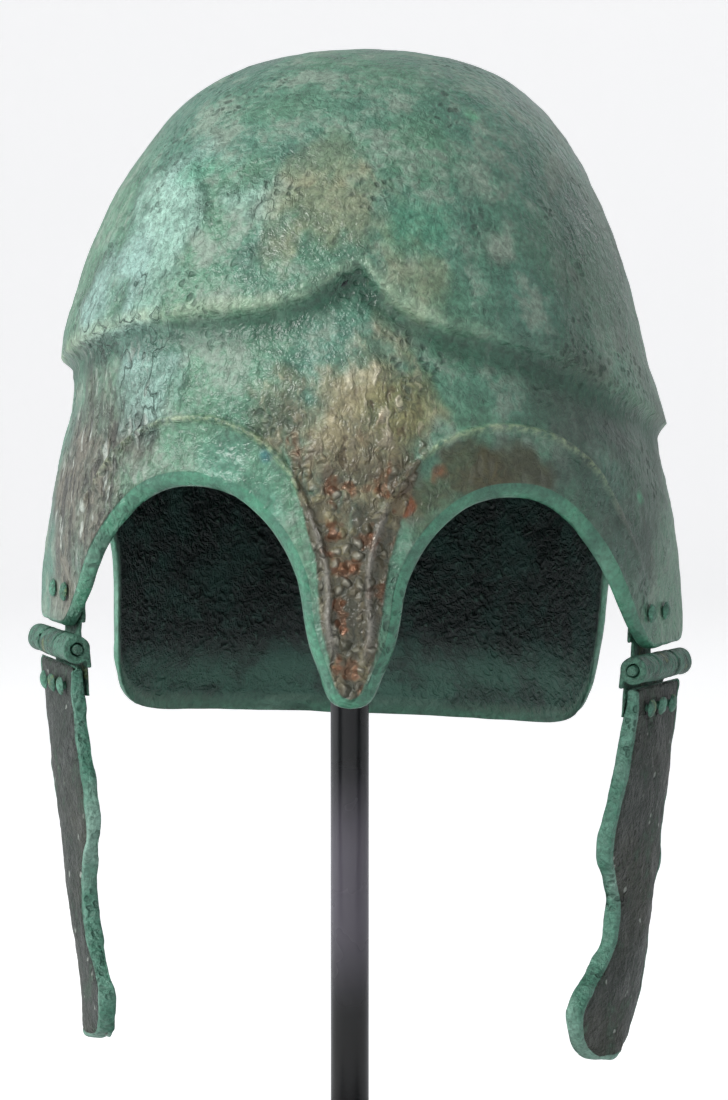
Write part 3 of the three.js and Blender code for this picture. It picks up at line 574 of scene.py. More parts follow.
def wall_at(above_edge, sizes):
    """Thickness of the wall a height above the edge."""
    return mix(sizes.rim_wall, sizes.wall, smooth(np.abs(above_edge) / RIM_FADE))


def skirt_rows(height):
    """Shares of a column's way down at which its rows lie, closer at the ridge."""
    step = np.minimum(RIDGE_STEP * 1.15 / height, 0.4)
    first = np.linspace(0, 1, 9)[1:, None] * step
    rest = step + np.linspace(0, 1, SKIRT_ROWS - 7)[1:, None] ** 0.94 * (1 - step)
    return np.concatenate((first, rest))


def bowl_rings(sizes):
    """Rings of the bowl's skin from the crown down outside and back up inside, with its marks."""
    ring = outline_ring(sizes)
    straight, edge = ring["straight"], ring["azimuth"]
    crest = crest_level(straight)
    crest_row = row_at(crest)
    rings, marks = [], []

    def add(azimuth, level, depth, kind, height=None):
        points = bowl_point(azimuth, level, depth, sizes)
        rings.append(points)
        marks.append({"azimuth": azimuth, "level": level, "kind": kind, "above": height})

    for i in range(1, DOME_ROWS):
        row = crest_row * (i / DOME_ROWS) ** 1.25
        level = spline(COLUMNS["level"], row + 1)
        add(straight, level, SKIN_INSET, "dome", level - ring["level"])
    height = crest - ring["level"]
    for share in np.concatenate((np.zeros((1, len(edge))), skirt_rows(height[None]))):
        azimuth = mix(straight, edge, smooth(share))
        level = mix(crest, ring["level"], share)
        add(azimuth, level, SKIN_INSET, "skirt", level - ring["level"])
    outer = rings[-1]
    around = unit(np.roll(outer, -1, axis=0) - np.roll(outer, 1, axis=0))
    normal = plain_normal(edge, row_at(ring["level"]))
    off = unit(np.cross(normal, around))
    for i in range(1, BAND_ROWS + 1):
        t = i / BAND_ROWS
        swell = 0.55 * math.sin(math.pi * t)
        inward = sizes.rim_wall * (t - 0.12 * math.sin(math.pi * t))
        points = outer - normal * inward - off * (ring["band"] * t + swell * (ring["band"] / 4))[:, None]
        rings.append(points)
        marks.append({"azimuth": edge, "level": ring["level"], "kind": "band", "above": 0 * height})
    skirt_inside = INNER_ROWS * 2 // 3
    for i in range(1, skirt_inside):
        share = 1 - i / skirt_inside
        azimuth = mix(straight, edge, smooth(share))
        level = mix(crest, ring["level"], share)
        above = level - ring["level"]
        add(azimuth, level, wall_at(above, sizes), "inside", above)
    dome_inside = INNER_ROWS - skirt_inside
    for i in range(dome_inside, 0, -1):
        row = crest_row * (i / dome_inside)
        level = spline(COLUMNS["level"], row + 1)
        add(straight, level, sizes.wall, "inside", level - ring["level"])
    return rings, marks


def build_mesh(name, points, faces, marks=None):
    """Object with its place in its mesh, smooth, with named values at its points."""
    mesh = bpy.data.meshes.new(name)
    mesh.from_pydata((points * MM).tolist(), [], faces)
    for key, values in (marks or {}).items():
        layer = mesh.attributes.new(key, "FLOAT", "POINT")
        layer.data.foreach_set("value", np.asarray(values, np.float32))
    mesh.validate()
    mesh.shade_smooth()
    piece = bpy.data.objects.new(name, mesh)
    bpy.context.scene.collection.objects.link(piece)
    return piece


def ring_faces(count, size):
    """Faces of a closed skin over rings of points, with a pole at each end."""
    faces = [(0, 1 + j, 1 + (j + 1) % size) for j in range(size)]
    for r in range(count - 1):
        a, b = 1 + r * size, 1 + (r + 1) * size
        faces += [(a + j, b + j, b + (j + 1) % size, a + (j + 1) % size) for j in range(size)]
    end, last = 1 + count * size, 1 + (count - 1) * size
    faces += [(end, last + (j + 1) % size, last + j) for j in range(size)]
    return faces


def read_points(mesh, key):
    """Places or normals of a mesh's points."""
    values = np.empty(len(mesh.vertices) * 3)
    mesh.vertices.foreach_get(key, values)
    return values.reshape(-1, 3)


def face_outwards(piece):
    """Turns a closed skin's faces round if they point inwards."""
    mesh = piece.data
    corners = read_points(mesh, "co")
    mesh.calc_loop_triangles()
    index = np.empty(len(mesh.loop_triangles) * 3, int)
    mesh.loop_triangles.foreach_get("vertices", index)
    a, b, c = (corners[index[k::3]] for k in range(3))
    if np.einsum("ij,ij->i", np.cross(a, b), c).sum() < 0:
        mesh.flip_normals()


def point_normals(rings):
    """Outward directions at the points of rings, from their neighbours."""
    grid = np.array(rings)
    down = np.gradient(grid, axis=0)
    around = np.roll(grid, -1, axis=1) - np.roll(grid, 1, axis=1)
    return unit(np.cross(down, around))


def helmet_place():
    """Matrix from the helmet's frame to the part's, in millimetres."""
    place = Matrix.Translation((HELMET_ASIDE, -HELMET_FORWARD, HINGE_HEIGHT))
    place = place @ Matrix.Rotation(math.radians(-HELMET_YAW), 4, "Z")
    return place @ Matrix.Rotation(math.radians(HELMET_ROLL), 4, "Y")


def moved(points, matrix):
    """Points taken through a matrix."""
    turn = np.array(matrix.to_3x3())
    return points @ turn.T + np.array(matrix.translation)


def corroded(points, sizes):
    """Lumps and crust of the old surface, in millimetres."""
    lump = layered(points, 26, 11) * sizes.lumps
    crust = layered(points, 5.5, 21, 3)
    rough = smooth(0.5 + 0.9 * layered(points, 38, 31, 2))
    return lump + crust * sizes.lumps * (0.25 + 0.5 * rough)


# Stains on the front of the bowl: name of the colour, X and height of the middle in millimetres
# in the part's frame, radius, raggedness and strength.
STAINS = (
    # The deep rows paint a deeper green together with painted shade on the wearer's left, away from the
    # light, and round the ridge's end.
    ("deep", 74, 306, 36, 26, 0.45),
    ("deep", 66, 266, 20, 16, 0.7),
    ("deep", 88, 246, 26, 20, 0.65),
    ("deep", 44, 248, 8, 8, 0.5),
    ("deep", 74, 222, 24, 16, 0.65),
    ("taupe", -80, 243, 31, 22, 0.9),
    ("taupe", -88, 208, 14, 10, 0.7),
    # The mint and silver rows paint pale flaky crust high on the wearer's right together with a painted
    # sheen of the light on it.
    ("mint_flakes_and_sheen", -50, 316, 21, 30, 0.75),
    ("silver_flakes_and_sheen", -70, 293, 15, 22, 0.75),
    ("silver_flakes_and_sheen", -60, 273, 13, 16, 0.6),
    ("silver_flakes_and_sheen", -38, 338, 12, 18, 0.4),
    ("sea", -39, 333, 8, 10, 0.7),
    ("sea", 18, 313, 8, 12, 0.4),
    ("tan", -6, 316, 13, 20, 0.6),
    ("tan", -18, 309, 6, 8, 0.6),
    ("tan", -8, 336, 9, 14, 0.4),
    ("tan", 16, 300, 9, 16, 0.45),
    ("lime", 36, 348, 3.0, 4, 0.75),
    ("chalky", 45, 309, 4.5, 8, 0.7),
    ("chalky", 38, 328, 4, 10, 0.3),
    ("golden", 2, 260, 15, 15, 0.9),
    ("golden", -16, 268, 8, 14, 0.4),
    ("olive", 16, 264, 8, 10, 0.6),
    ("umber", -17, 264, 7, 12, 0.6),
    ("umber", 20, 240, 7, 10, 0.75),
    ("umber", 33, 246, 8, 12, 0.8),
    ("umber", 47, 245, 7, 12, 0.6),
    ("rust", 24, 246, 2.2, 6, 0.75),
    ("rust", 16, 237, 1.6, 5, 0.7),
    ("seagreen", -36, 249, 7, 5, 0.8),
    ("seagreen", -26, 236, 9, 7, 0.85),
    ("peacock", -23.5, 250.5, 1.7, 1.6, 0.8),
    ("lime", 84, 237, 1.8, 2, 0.6),
)

STAIN_COLOURS = {
    # deep: a deeper green with painted shade.
    "deep": "354B40",
    "taupe": "6E6C60",
    # mint and silver: pale crust with a painted sheen.
    "mint_flakes_and_sheen": "9CC4B4",
    "silver_flakes_and_sheen": "8DB2A8",
    "sea": "4D9A78",
    "tan": "8F8F70",
    "lime": "62B087",
    "chalky": "A9B6A6",
    "golden": "928B6C",
    "olive": "74774A",
    "umber": "45432A",
    "rust": "7E4526",
    "seagreen": "568F78",
    "peacock": "2F7074",
}


def on_front(x, height):
    """Point in millimetres on the front of the bowl, at an X and height in the part's frame."""
    level = height - HINGE_HEIGHT
    row = row_at(level)
    half = spline(COLUMNS["half"], row + 1)
    reach = spline(COLUMNS["front"], row + 1)
    share = min(abs(x - HELMET_ASIDE) / half, 0.98)
    y = -reach * (1 - share**SQUARENESS) ** (1 / SQUARENESS) - HELMET_FORWARD
    return np.array((x, y, height))


def stained(points):
    """Stains at points of the bowl, among them painted shade and a painted sheen: their joint colour and
    cover, and the cover of each kind.
    """
    rough = layered(points, 17, 71, 4) * 0.62 + layered(points, 4.5, 81, 2) * 0.18
    colour_ = np.zeros((len(points), 3))
    bare = np.ones(len(points))
    kinds = {name: np.zeros(len(points)) for name in STAIN_COLOURS}
    for name, x, height, radius, ragged, strength in STAINS:
        away = np.linalg.norm(points - on_front(x, height), axis=1) + rough * ragged
        cover = smooth((1.55 * radius - away) / (1.1 * radius)) * strength
        colour_ = mix(colour_, np.array(linear(STAIN_COLOURS[name])), cover[:, None])
        bare = bare * (1 - cover)
        kinds[name] = np.maximum(kinds[name], cover)
    cover = 1 - bare
    return colour_ / np.maximum(cover, 1e-4)[:, None], cover, kinds


def capped(values):
    """Values at the points of a skin's rings, with those of its two poles added."""
    return {key: np.concatenate(([v[0]], v, [v[-1]])) for key, v in values.items()}


def face_relief(points, azimuth, level, above, outside, sizes):
    """Height of the work on the face, and where its eyebrow lines and pitted nose panel are."""
    away, strength = eyebrow(points, azimuth, sizes)
    strength *= outside & (level < crest_level(azimuth) - RIDGE_STEP)
    under = 1 - smooth(-away / 2.1)
    over = 1 - smooth(away / 1.2)
    line = np.where(away < 0, under, over) * strength
    sunk = smooth(1 - np.abs(away + 5) / 5) * strength * 0.35
    panel = nose_panel(azimuth, level, points) * outside
    pitted = layered(points, 3.4, 41, 2) * 0.5 + layered(points, 7.5, 45, 2) * 0.45
    height = line * sizes.brow_rise - sunk + panel * (0.25 + pitted * smooth(above / 2.5))
    return height, {"brow": line * smooth(strength * 1.5), "nose": panel}


def bowl_marks(points, azimuth, level, above, kind, outside):
    """Where the rims, the inside, the ridge's crest and the hollow under it are; the crest carries a painted
    highlight and the hollow a painted shade.
    """
    below = crest_level(azimuth) - level
    # Crest mask of the painted highlight along the ridge, faded out on the wearer's left, away from the
    # light.
    crest = np.exp(-(((below + 0.8) / 1.7) ** 2)) * outside
    crest *= 1 - 0.8 * smooth((points[:, 0] - 14) / 34)
    # Mask of the painted shade in the hollow under the ridge.
    recess = smooth(below / (RIDGE_STEP * 0.6))
    recess *= (1 - smooth((below - 6) / 7)) * outside
    return {
        "rim": np.where(kind == "band", 1.0, (1 - smooth((above - 0.1) / 1.3)) * outside),
        "inside": (kind == "inside") * 1.0,
        "ridge": crest,
        "recess": recess,
    }


def make_bowl(sizes):
    """The bowl as one closed skin in the part's frame."""
    rings, marks = bowl_rings(sizes)
    width = len(rings[0])
    points = np.concatenate(rings)
    azimuth, level, above = (
        np.concatenate([np.broadcast_to(m[key], width) for m in marks])
        for key in ("azimuth", "level", "above")
    )
    kind = np.repeat([m["kind"] for m in marks], width)
    outside = (kind == "dome") | (kind == "skirt")
    normals = point_normals(rings).reshape(-1, 3)
    toward = np.einsum("ij,ij->i", normals, plain_normal(azimuth, row_at(level)))
    normals[outside & (toward < 0)] *= -1

    relief, face = face_relief(points, azimuth, level, above, outside, sizes)
    lump = corroded(points, sizes)
    calm = 0.25 + 0.75 * smooth(above / 2.5)
    relief = np.clip(relief + lump * calm, -DEEPEST_PIT, None)
    edge = lump * 0.15 + noise(points, 7, 51) * 0.28
    within = np.clip(-lump * calm, -INNER_PLAY, INNER_PLAY)
    move = np.where(outside, relief, np.where(kind == "band", edge, within))
    points = points + normals * move[:, None]

    values = capped(bowl_marks(points, azimuth, level, above, kind, outside) | face)
    crown = bowl_point(0, DOME_HEIGHT, SKIN_INSET, sizes)
    ceiling = bowl_point(0, DOME_HEIGHT, sizes.wall, sizes)
    points = moved(np.concatenate((crown[None], points, ceiling[None])), helmet_place())
    points[:, 1] = np.maximum(points[:, 1], CAD_BOX[0][1] / MM + BOX_GAP)
    tone, values["stained"], kinds = stained(points)
    values["flaky"] = np.maximum(kinds["mint_flakes_and_sheen"], kinds["silver_flakes_and_sheen"])
    values["temple"] = kinds["taupe"]
    values["gilt"] = kinds["golden"]
    values["calm"] = np.maximum(kinds["seagreen"], values["recess"] * 0.5)
    piece = build_mesh("bowl_shell", points, ring_faces(len(rings), width), values)
    layer = piece.data.attributes.new("stain", "FLOAT_COLOR", "POINT")
    layer.data.foreach_set("color", np.column_stack((tone, np.ones(len(tone)))).astype(np.float32).ravel())
    face_outwards(piece)
    return piece


def hinge_spot(sign, sizes):
    """X and Y of one hinge's axis in the helmet's frame, and its turn in radians."""
    edge = bowl_point(sign * HINGE_AZIMUTH, TAB_LEVEL, 0, sizes)
    turn = -sign * math.radians(HINGE_ANGLE)
    x = edge[0] - sign * math.cos(turn) * HINGE_INSET
    y = edge[1] - sign * math.sin(turn) * HINGE_INSET
    return x, y, turn


def hinge_place(sign, sizes, lean=0):
    """Matrix from a hinge's frame, with X outward on either side, to the part's."""
    x, y, turn = hinge_spot(sign, sizes)
    place = helmet_place() @ Matrix.Translation((x, y, 0)) @ Matrix.Rotation(turn, 4, "Z")
    place = place @ Matrix.Rotation(math.radians(lean) * sign, 4, "Y")
    return place @ Matrix.Diagonal((sign, 1, 1, 1))


def wall_outside(sign, along, level, depth, sizes):
    """How far outside the hinge's axis the bowl's wall lies."""
    x, y, turn = hinge_spot(sign, sizes)
    azimuths = np.linspace(30, 110, 1601)
    points = bowl_point(sign * azimuths, level, depth, sizes) - (x, y, 0)
    out = points[:, 0] * math.cos(-turn) - points[:, 1] * math.sin(-turn)
    back = points[:, 0] * math.sin(-turn) + points[:, 1] * math.cos(-turn)
    return float(np.interp(along, back, out)) * sign


def leaf_face(sign, sizes):
    """Outer face of the bowl's hinge leaf, clear of the tab's curved inside."""
    half = BOWL_LEAF_WIDTH / 2
    seats = [
        wall_outside(sign, along, level, sizes.rim_wall, sizes)
        for along in (-half, 0, half)
        for level in (TAB_LEVEL, BOWL_RIVET_LEVEL, BOWL_LEAF_HEIGHT)
    ]
    return min(seats) - FIT_GAP


def cheek_ring(place, twist, sizes):
    """One ring round a cheek piece, with the share of its rounded edge at each point."""
    drop, front, rear = (spline(CHEEK[:, k], place) for k in range(3))
    across = (1 - np.cos(np.linspace(0.12, math.pi - 0.12, CHEEK_STEPS + 1))) / 2
    across = (across - across[0]) / (across[-1] - across[0])
    ends = min(drop - CHEEK[0, 0], 1 - drop) * CHEEK_LENGTH
    wall = mix(
        sizes.cheek_edge,
        sizes.cheek_body,
        smooth(np.minimum(across / CHEEK_EDGE_FADE, (1 - drop) / CHEEK_TIP_FADE)),
    )
    q = np.clip(ends / 2.2, 0, 1)
    wall = wall * (0.25 + 0.75 * math.sqrt(1 - (1 - q) ** 2))
    bowed = CHEEK_BOW * smooth(drop / CHEEK_BOW_START) * (1 - (2 * across - 1) ** 2)
    inset = CHEEK_EDGE_INSET
    lower, upper = front * CHEEK_WIDTH + inset, rear * CHEEK_WIDTH - inset
    along = mix(lower, upper, across)
    arc = np.linspace(0, math.pi, CHEEK_ARC + 2)[1:-1]
    outer = np.stack((bowed + wall / 2, along), axis=1)
    inner = np.stack((bowed - wall / 2, along), axis=1)[::-1]
    rear_arc = np.stack((np.cos(arc) * wall[-1] / 2, upper + np.sin(arc) * inset), axis=1)
    front_arc = np.stack((-np.cos(arc) * wall[0] / 2, lower - np.sin(arc) * inset), axis=1)
    flat = np.concatenate((outer, rear_arc, inner, front_arc))
    turn = -math.radians(twist) * smooth(drop)
    out = flat[:, 0] * math.cos(turn) - flat[:, 1] * math.sin(turn)
    along = flat[:, 0] * math.sin(turn) + flat[:, 1] * math.cos(turn)
    level = np.full(len(out), -float(drop) * CHEEK_LENGTH)
    edge = 1 - smooth((across * (upper - lower) - 0.6) / 2.6)
    edge = np.maximum(edge, (1 - smooth((ends - 0.6) / 2.6)) * (drop > 0.5))
    rear_edge = 0.75 * (1 - smooth(((1 - across) * (upper - lower)) / 1.4))
    band = np.maximum(edge, rear_edge)
    full = np.ones(CHEEK_ARC)
    marks = {
        "rim": np.concatenate((band, full, band[::-1], full)),
        "inside": np.concatenate((0 * band, 0.5 * full, 0 * band + 1, 0.5 * full)),
    }
    return np.stack((out, along, level), axis=1), marks


def make_cheek_piece(name, sign, lean, twist, sizes):
    """One cheek piece as a closed plate with thick rounded edges."""
    places = np.linspace(0, len(CHEEK) - 1, CHEEK_ROWS + 1)
    rings, marks = zip(*(cheek_ring(place, twist, sizes) for place in places))
    points = np.concatenate(rings)
    normals = point_normals(rings).reshape(-1, 3)
    centre = np.repeat([ring.mean(axis=0) for ring in rings], len(rings[0]), axis=0)
    if np.einsum("ij,ij->i", normals, points - centre).sum() < 0:
        normals = -normals
    values = {key: np.concatenate([m[key] for m in marks]) for key in marks[0]}
    seed = 60 if sign > 0 else 70
    lump = layered(points, 16, seed) * 0.3 + layered(points, 4.5, seed + 4, 3) * 0.2
    knots = noise(points, 6.5, seed + 9) * 0.5 * values["rim"]
    groove = np.exp(-(((values["rim"] - 0.35) / 0.2) ** 2)) * 0.22
    points = points + normals * (lump + knots - groove - CHEEK_SINK)[:, None]
    points = np.concatenate((rings[0].mean(axis=0)[None], points, rings[-1].mean(axis=0)[None]))
    values = capped(values)
    points = moved(points, hinge_place(sign, sizes, lean))
    piece = build_mesh(f"cheek_plate_{name}", points, ring_faces(len(rings), len(rings[0])), values)
    face_outwards(piece)
    return piece


def deselect():
    """Leaves nothing selected, in object mode."""
    bpy.ops.object.select_all(action="DESELECT")


def select_faces(piece, wanted):
    """In edit mode, selects the faces for which a test of centre and normal is true."""
    bpy.ops.mesh.select_mode(type="FACE")
    bpy.ops.mesh.select_all(action="DESELECT")
    bpy.ops.object.mode_set(mode="OBJECT")
    for face in piece.data.polygons:
        face.select = wanted(face.center, face.normal)
    bpy.ops.object.mode_set(mode="EDIT")


def rod_along_y(radius, start, end, corners=40, bevel=0.4):
    """Round bar along Y with bevelled ends."""
    deselect()
    bpy.ops.mesh.primitive_cylinder_add(
        vertices=corners,
        radius=radius * MM,
        depth=(end - start) * MM,
        location=(0, (start + end) / 2 * MM, 0),
        rotation=(math.pi / 2, 0, 0),
    )
    bar = bpy.context.object
    bpy.ops.object.transform_apply(location=True, rotation=True, scale=True)
    bpy.ops.object.mode_set(mode="EDIT")
    select_faces(bar, lambda centre, normal: abs(normal.y) > 0.9)
    bpy.ops.mesh.bevel(offset=bevel * MM, segments=3, affect="EDGES")
    bpy.ops.object.mode_set(mode="OBJECT")
    return bar


def knuckle_tube(radius, bore, start, end):
    """Rolled knuckle along Y, open through its bore."""
    tube = rod_along_y(radius, start, end)
    bpy.ops.object.mode_set(mode="EDIT")
    select_faces(tube, lambda centre, normal: abs(normal.y) > 0.99)
    bpy.ops.mesh.inset(thickness=(radius - 0.4 - bore) * MM)
    bpy.ops.mesh.bridge_edge_loops()
    bpy.ops.object.mode_set(mode="OBJECT")
    return tube


def plate(low, high, bevel=0.35, segments=2):
    """Flat strap between two corners, with bevelled edges."""
    deselect()
    centre = [(a + b) / 2 * MM for a, b in zip(low, high)]
    bpy.ops.mesh.primitive_cube_add(size=1, location=centre)
    strap = bpy.context.object
    strap.scale = [(b - a) * MM for a, b in zip(low, high)]
    bpy.ops.object.transform_apply(location=True, rotation=True, scale=True)
    bpy.ops.object.mode_set(mode="EDIT")
    bpy.ops.mesh.select_all(action="SELECT")
    bpy.ops.mesh.bevel(offset=bevel * MM, segments=segments, affect="EDGES")
    bpy.ops.object.mode_set(mode="OBJECT")
    return strap


def fused(parts, name, grain, smoothing=4):
    """Parts grown together into one skin, as corroded metal is."""
    deselect()
    for part in parts:
        part.select_set(True)
    piece = parts[0]
    bpy.context.view_layer.objects.active = piece
    if len(parts) > 1:
        bpy.ops.object.join()
    remesh = piece.modifiers.new("Skin", "REMESH")
    remesh.mode = "VOXEL"
    remesh.voxel_size = grain * MM
    soften = piece.modifiers.new("Soften", "SMOOTH")
    soften.iterations = smoothing
    soften.factor = 0.5
    bpy.ops.object.modifier_apply(modifier="Skin")
    bpy.ops.object.modifier_apply(modifier="Soften")
    piece.name = piece.data.name = name
    return piece


def weather(piece, depth, lump, seed, sink=0.0):
    """Moves a piece's points in and out by smooth noise."""
    mesh = piece.data
    points = read_points(mesh, "co") / MM
    normals = read_points(mesh, "normal")
    move = layered(points, lump, seed, 2) * depth - sink
    points = points + normals * move[:, None]
    mesh.vertices.foreach_set("co", (points * MM).ravel())
    mesh.update()


def settle(piece, place):
    """Puts a piece, modelled at the origin, in its place in the part's frame."""
    metres = place.copy()
    metres.translation = place.translation * MM
    piece.data.transform(metres)
    if place.determinant() < 0:
        piece.data.flip_normals()
    piece.data.shade_smooth()
    return piece


def finish_piece(piece, body, slot, material, *nodes):
    """Gives a piece its material and body, and hides the solids that it stands for; its slot is not used."""
    piece.data.materials.clear()
    piece.data.materials.append(material)
    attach(piece, body)
    if nodes:
        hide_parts(*nodes)


class Tree:
    """Short hand for building a tree of shader nodes."""

    def __init__(self, tree):
        self.tree = tree

    def add(self, kind, inputs=None, **settings):
        node = self.tree.nodes.new(kind)
        for key, value in settings.items():
            setattr(node, key, value)
        self.feed(node, inputs or {})
        return node

    def feed(self, node, sockets):
        for key, value in sockets.items():
            socket = node.inputs[key]
            if isinstance(value, bpy.types.NodeSocket):
                self.tree.links.new(value, socket)
            elif socket.type == "RGBA" and len(value) == 3:
                socket.default_value = (*value, 1)
            else:
                socket.default_value = value

    def mix(self, share, a, b, blend="MIX"):
        sockets = {0: share, 6: a, 7: b}
        node = self.add("ShaderNodeMix", sockets, data_type="RGBA", blend_type=blend)
        return node.outputs[2]

    def math(self, operation, a, b=0.0, clamp=False):
        node = self.add("ShaderNodeMath", {0: a, 1: b}, operation=operation, use_clamp=clamp)
        return node.outputs[0]

    def times(self, a, b, clamp=False):
        return self.math("MULTIPLY", a, b, clamp)

    def plus(self, a, b, clamp=False):
        return self.math("ADD", a, b, clamp)

    def minus(self, a, b):
        return self.math("SUBTRACT", a, b)

    def step(self, value, low, high, start=0.0, end=1.0):
        sockets = {"Value": value, "From Min": low, "From Max": high, "To Min": start, "To Max": end}
        return self.add("ShaderNodeMapRange", sockets, interpolation_type="SMOOTHSTEP").outputs[0]

    def noise(self, vector, scale, detail=4.0, roughness=0.55, distortion=0.0):
        sockets = {
            "Vector": vector,
            "Scale": scale,
            "Detail": detail,
            "Roughness": roughness,
            "Distortion": distortion,
        }
        return self.add("ShaderNodeTexNoise", sockets).outputs[0]

    def cells(self, vector, scale):
        return self.add("ShaderNodeTexVoronoi", {"Vector": vector, "Scale": scale})

    def chance(self, cell):
        return self.add("ShaderNodeSeparateColor", {0: cell.outputs["Color"]}).outputs[0]

    def level(self, place):
        return self.add("ShaderNodeSeparateXYZ", {0: place}).outputs[2]

    def mark(self, name):
        return self.add("ShaderNodeAttribute", attribute_name=name).outputs["Fac"]


def group(name, inputs, outputs):
    """New node group, with its tree, its input node and its output node."""
    tree = bpy.data.node_groups.new(name, "ShaderNodeTree")
    for label, kind, value in inputs:
        socket = tree.interface.new_socket(label, in_out="INPUT", socket_type=kind)
        if value is not None:
            socket.default_value = value
    for label in outputs:
        tree.interface.new_socket(label, in_out="OUTPUT", socket_type="NodeSocketFloat")
    entry = tree.nodes.new("NodeGroupInput")
    leave = tree.nodes.new("NodeGroupOutput")
    return Tree(tree), entry, leave


VECTOR, NUMBER = "NodeSocketVector", "NodeSocketFloat"


def warped(t, place, scale, reach):
    """Coordinates pushed about by noise of a scale, by up to half a reach in millimetres."""
    push = t.add("ShaderNodeTexNoise", {"Vector": place, "Scale": scale, "Detail": 1.0}).outputs["Color"]
    sockets = {0: push, 1: (0.5, 0.5, 0.5)}
    push = t.add("ShaderNodeVectorMath", sockets, operation="SUBTRACT").outputs[0]
    sockets = {0: push, 3: 2 * reach * MM}
    push = t.add("ShaderNodeVectorMath", sockets, operation="SCALE").outputs[0]
    return t.add("ShaderNodeVectorMath", {0: place, 1: push}, operation="ADD").outputs[0]


def stretched(t, place, share):
    """Coordinates that draw marks out along Z."""
    sockets = {0: place, 1: (1.0, 1.0, share)}
    return t.add("ShaderNodeVectorMath", sockets, operation="MULTIPLY").outputs[0]


def crust_group():
    """Corroded crust: a height, a mask of pits and a mask of raised grit."""
    inputs = (("Vector", VECTOR, None), ("Grain", NUMBER, 160.0), ("Pits", NUMBER, 0.5))
    t, entry, leave = group("corroded_crust", inputs, ("Height", "Pit", "Grit"))
    place, grain = entry.outputs["Vector"], entry.outputs["Grain"]
    coarse = t.noise(place, grain, 4.0, 0.68)
    fold = t.noise(place, t.times(grain, 1.5), 1.0, 0.5)
    fold = t.math("ABSOLUTE", t.minus(fold, 0.5))
    fold = t.times(fold, 4.0, True)
    fine = t.noise(place, t.times(grain, 4.0), 2.0, 0.62)
    where = t.noise(place, t.times(grain, 0.3), 1.0, 0.6)
    gate = t.step(where, t.minus(0.78, t.times(entry.outputs["Pits"], 0.4)), 0.7)
    spots = t.cells(place, t.times(grain, 2.4)).outputs["Distance"]
    pit = t.times(t.step(spots, 0.46, 0.2), gate)
    grit = t.step(fine, 0.55, 0.7)
    height = t.plus(t.times(coarse, 0.72), t.times(fold, 0.1))
    height = t.plus(height, t.times(fine, 0.18))
    height = t.minus(height, t.times(pit, 0.3))
    t.feed(leave, {"Height": height, "Pit": pit, "Grit": grit})
    return t.tree


def flake_group():
    """Flaky cracked crust: its height, and a mask of the cracks between the flakes."""
    inputs = (("Vector", VECTOR, None), ("Grain", NUMBER, 120.0))
    t, entry, leave = group("flaky_crust", inputs, ("Height", "Crack"))
    grain = entry.outputs["Grain"]
    place = stretched(t, entry.outputs["Vector"], 0.55)
    line = t.noise(place, t.times(grain, 0.42), 2.0, 0.6)
    line = t.math("ABSOLUTE", t.minus(line, 0.5))
    some = t.step(t.noise(place, t.times(grain, 0.12), 0.0), 0.5, 0.56)
    crack = t.times(t.step(line, 0.014, 0.004), some)
    slab = t.cells(place, grain)
    tilt = t.chance(slab)
    ridge = t.noise(place, t.times(grain, 1.1), 3.0, 0.66)
    height = t.plus(t.times(ridge, 0.8), t.times(tilt, 0.25))
    height = t.minus(height, t.times(crack, 0.4))
    t.feed(leave, {"Height": height, "Crack": crack})
    return t.tree


def nodule_group():
    """Rounded nodules: their height, and a mask of the pale ones."""
    inputs = (("Vector", VECTOR, None), ("Grain", NUMBER, 330.0))
    t, entry, leave = group("crust_nodules", inputs, ("Height", "Pale"))
    cell = t.cells(entry.outputs["Vector"], entry.outputs["Grain"])
    chosen = t.chance(cell)
    dome = t.step(cell.outputs["Distance"], 0.62, 0.1)
    height = t.times(dome, t.plus(0.2, t.times(chosen, 0.8)))
    pale = t.times(t.step(chosen, 0.6, 0.8), t.step(cell.outputs["Distance"], 0.5, 0.25))
    t.feed(leave, {"Height": height, "Pale": pale})
    return t.tree


def speck_group():
    """Scattered mineral specks."""
    inputs = (("Vector", VECTOR, None), ("Grain", NUMBER, 700.0), ("Amount", NUMBER, 0.15))
    t, entry, leave = group("mineral_specks", inputs, ("Mask",))
    spots = t.cells(entry.outputs["Vector"], entry.outputs["Grain"])
    chosen = t.chance(spots)
    rare = t.minus(1.0, entry.outputs["Amount"])
    chosen = t.step(chosen, rare, t.plus(rare, 0.03))
    dot = t.step(spots.outputs["Distance"], 0.5, 0.25)
    t.feed(leave, {"Mask": t.times(dot, chosen)})
    return t.tree


def shader(name):
    """New material, with its tree and its Principled shader."""
    material = bpy.data.materials.new(name)
    material.use_nodes = True
    t = Tree(material.node_tree)
    surface = material.node_tree.nodes["Principled BSDF"]
    place = t.add("ShaderNodeTexCoord").outputs["Object"]
    return material, t, surface, place


def use(t, name, sockets):
    """One of the shared node groups, placed in a material."""
    return t.add("ShaderNodeGroup", sockets, node_tree=bpy.data.node_groups[name]).outputs


def bump(t, height, depth):
    """Bump of a depth in millimetres."""
    sockets = {"Height": height, "Strength": 1.0, "Distance": depth * MM}
    return t.add("ShaderNodeBump", sockets).outputs[0]


def grained(t, tone, grain, low, high, share=1.0, top=0.7):
    """Tone darkened and lightened by a noise, between two factors."""
    grey = t.step(grain, 0.3, top, low, high)
    grey = t.add("ShaderNodeCombineColor", {0: grey, 1: grey, 2: grey}).outputs[0]
    return t.mix(share, tone, grey, "MULTIPLY")


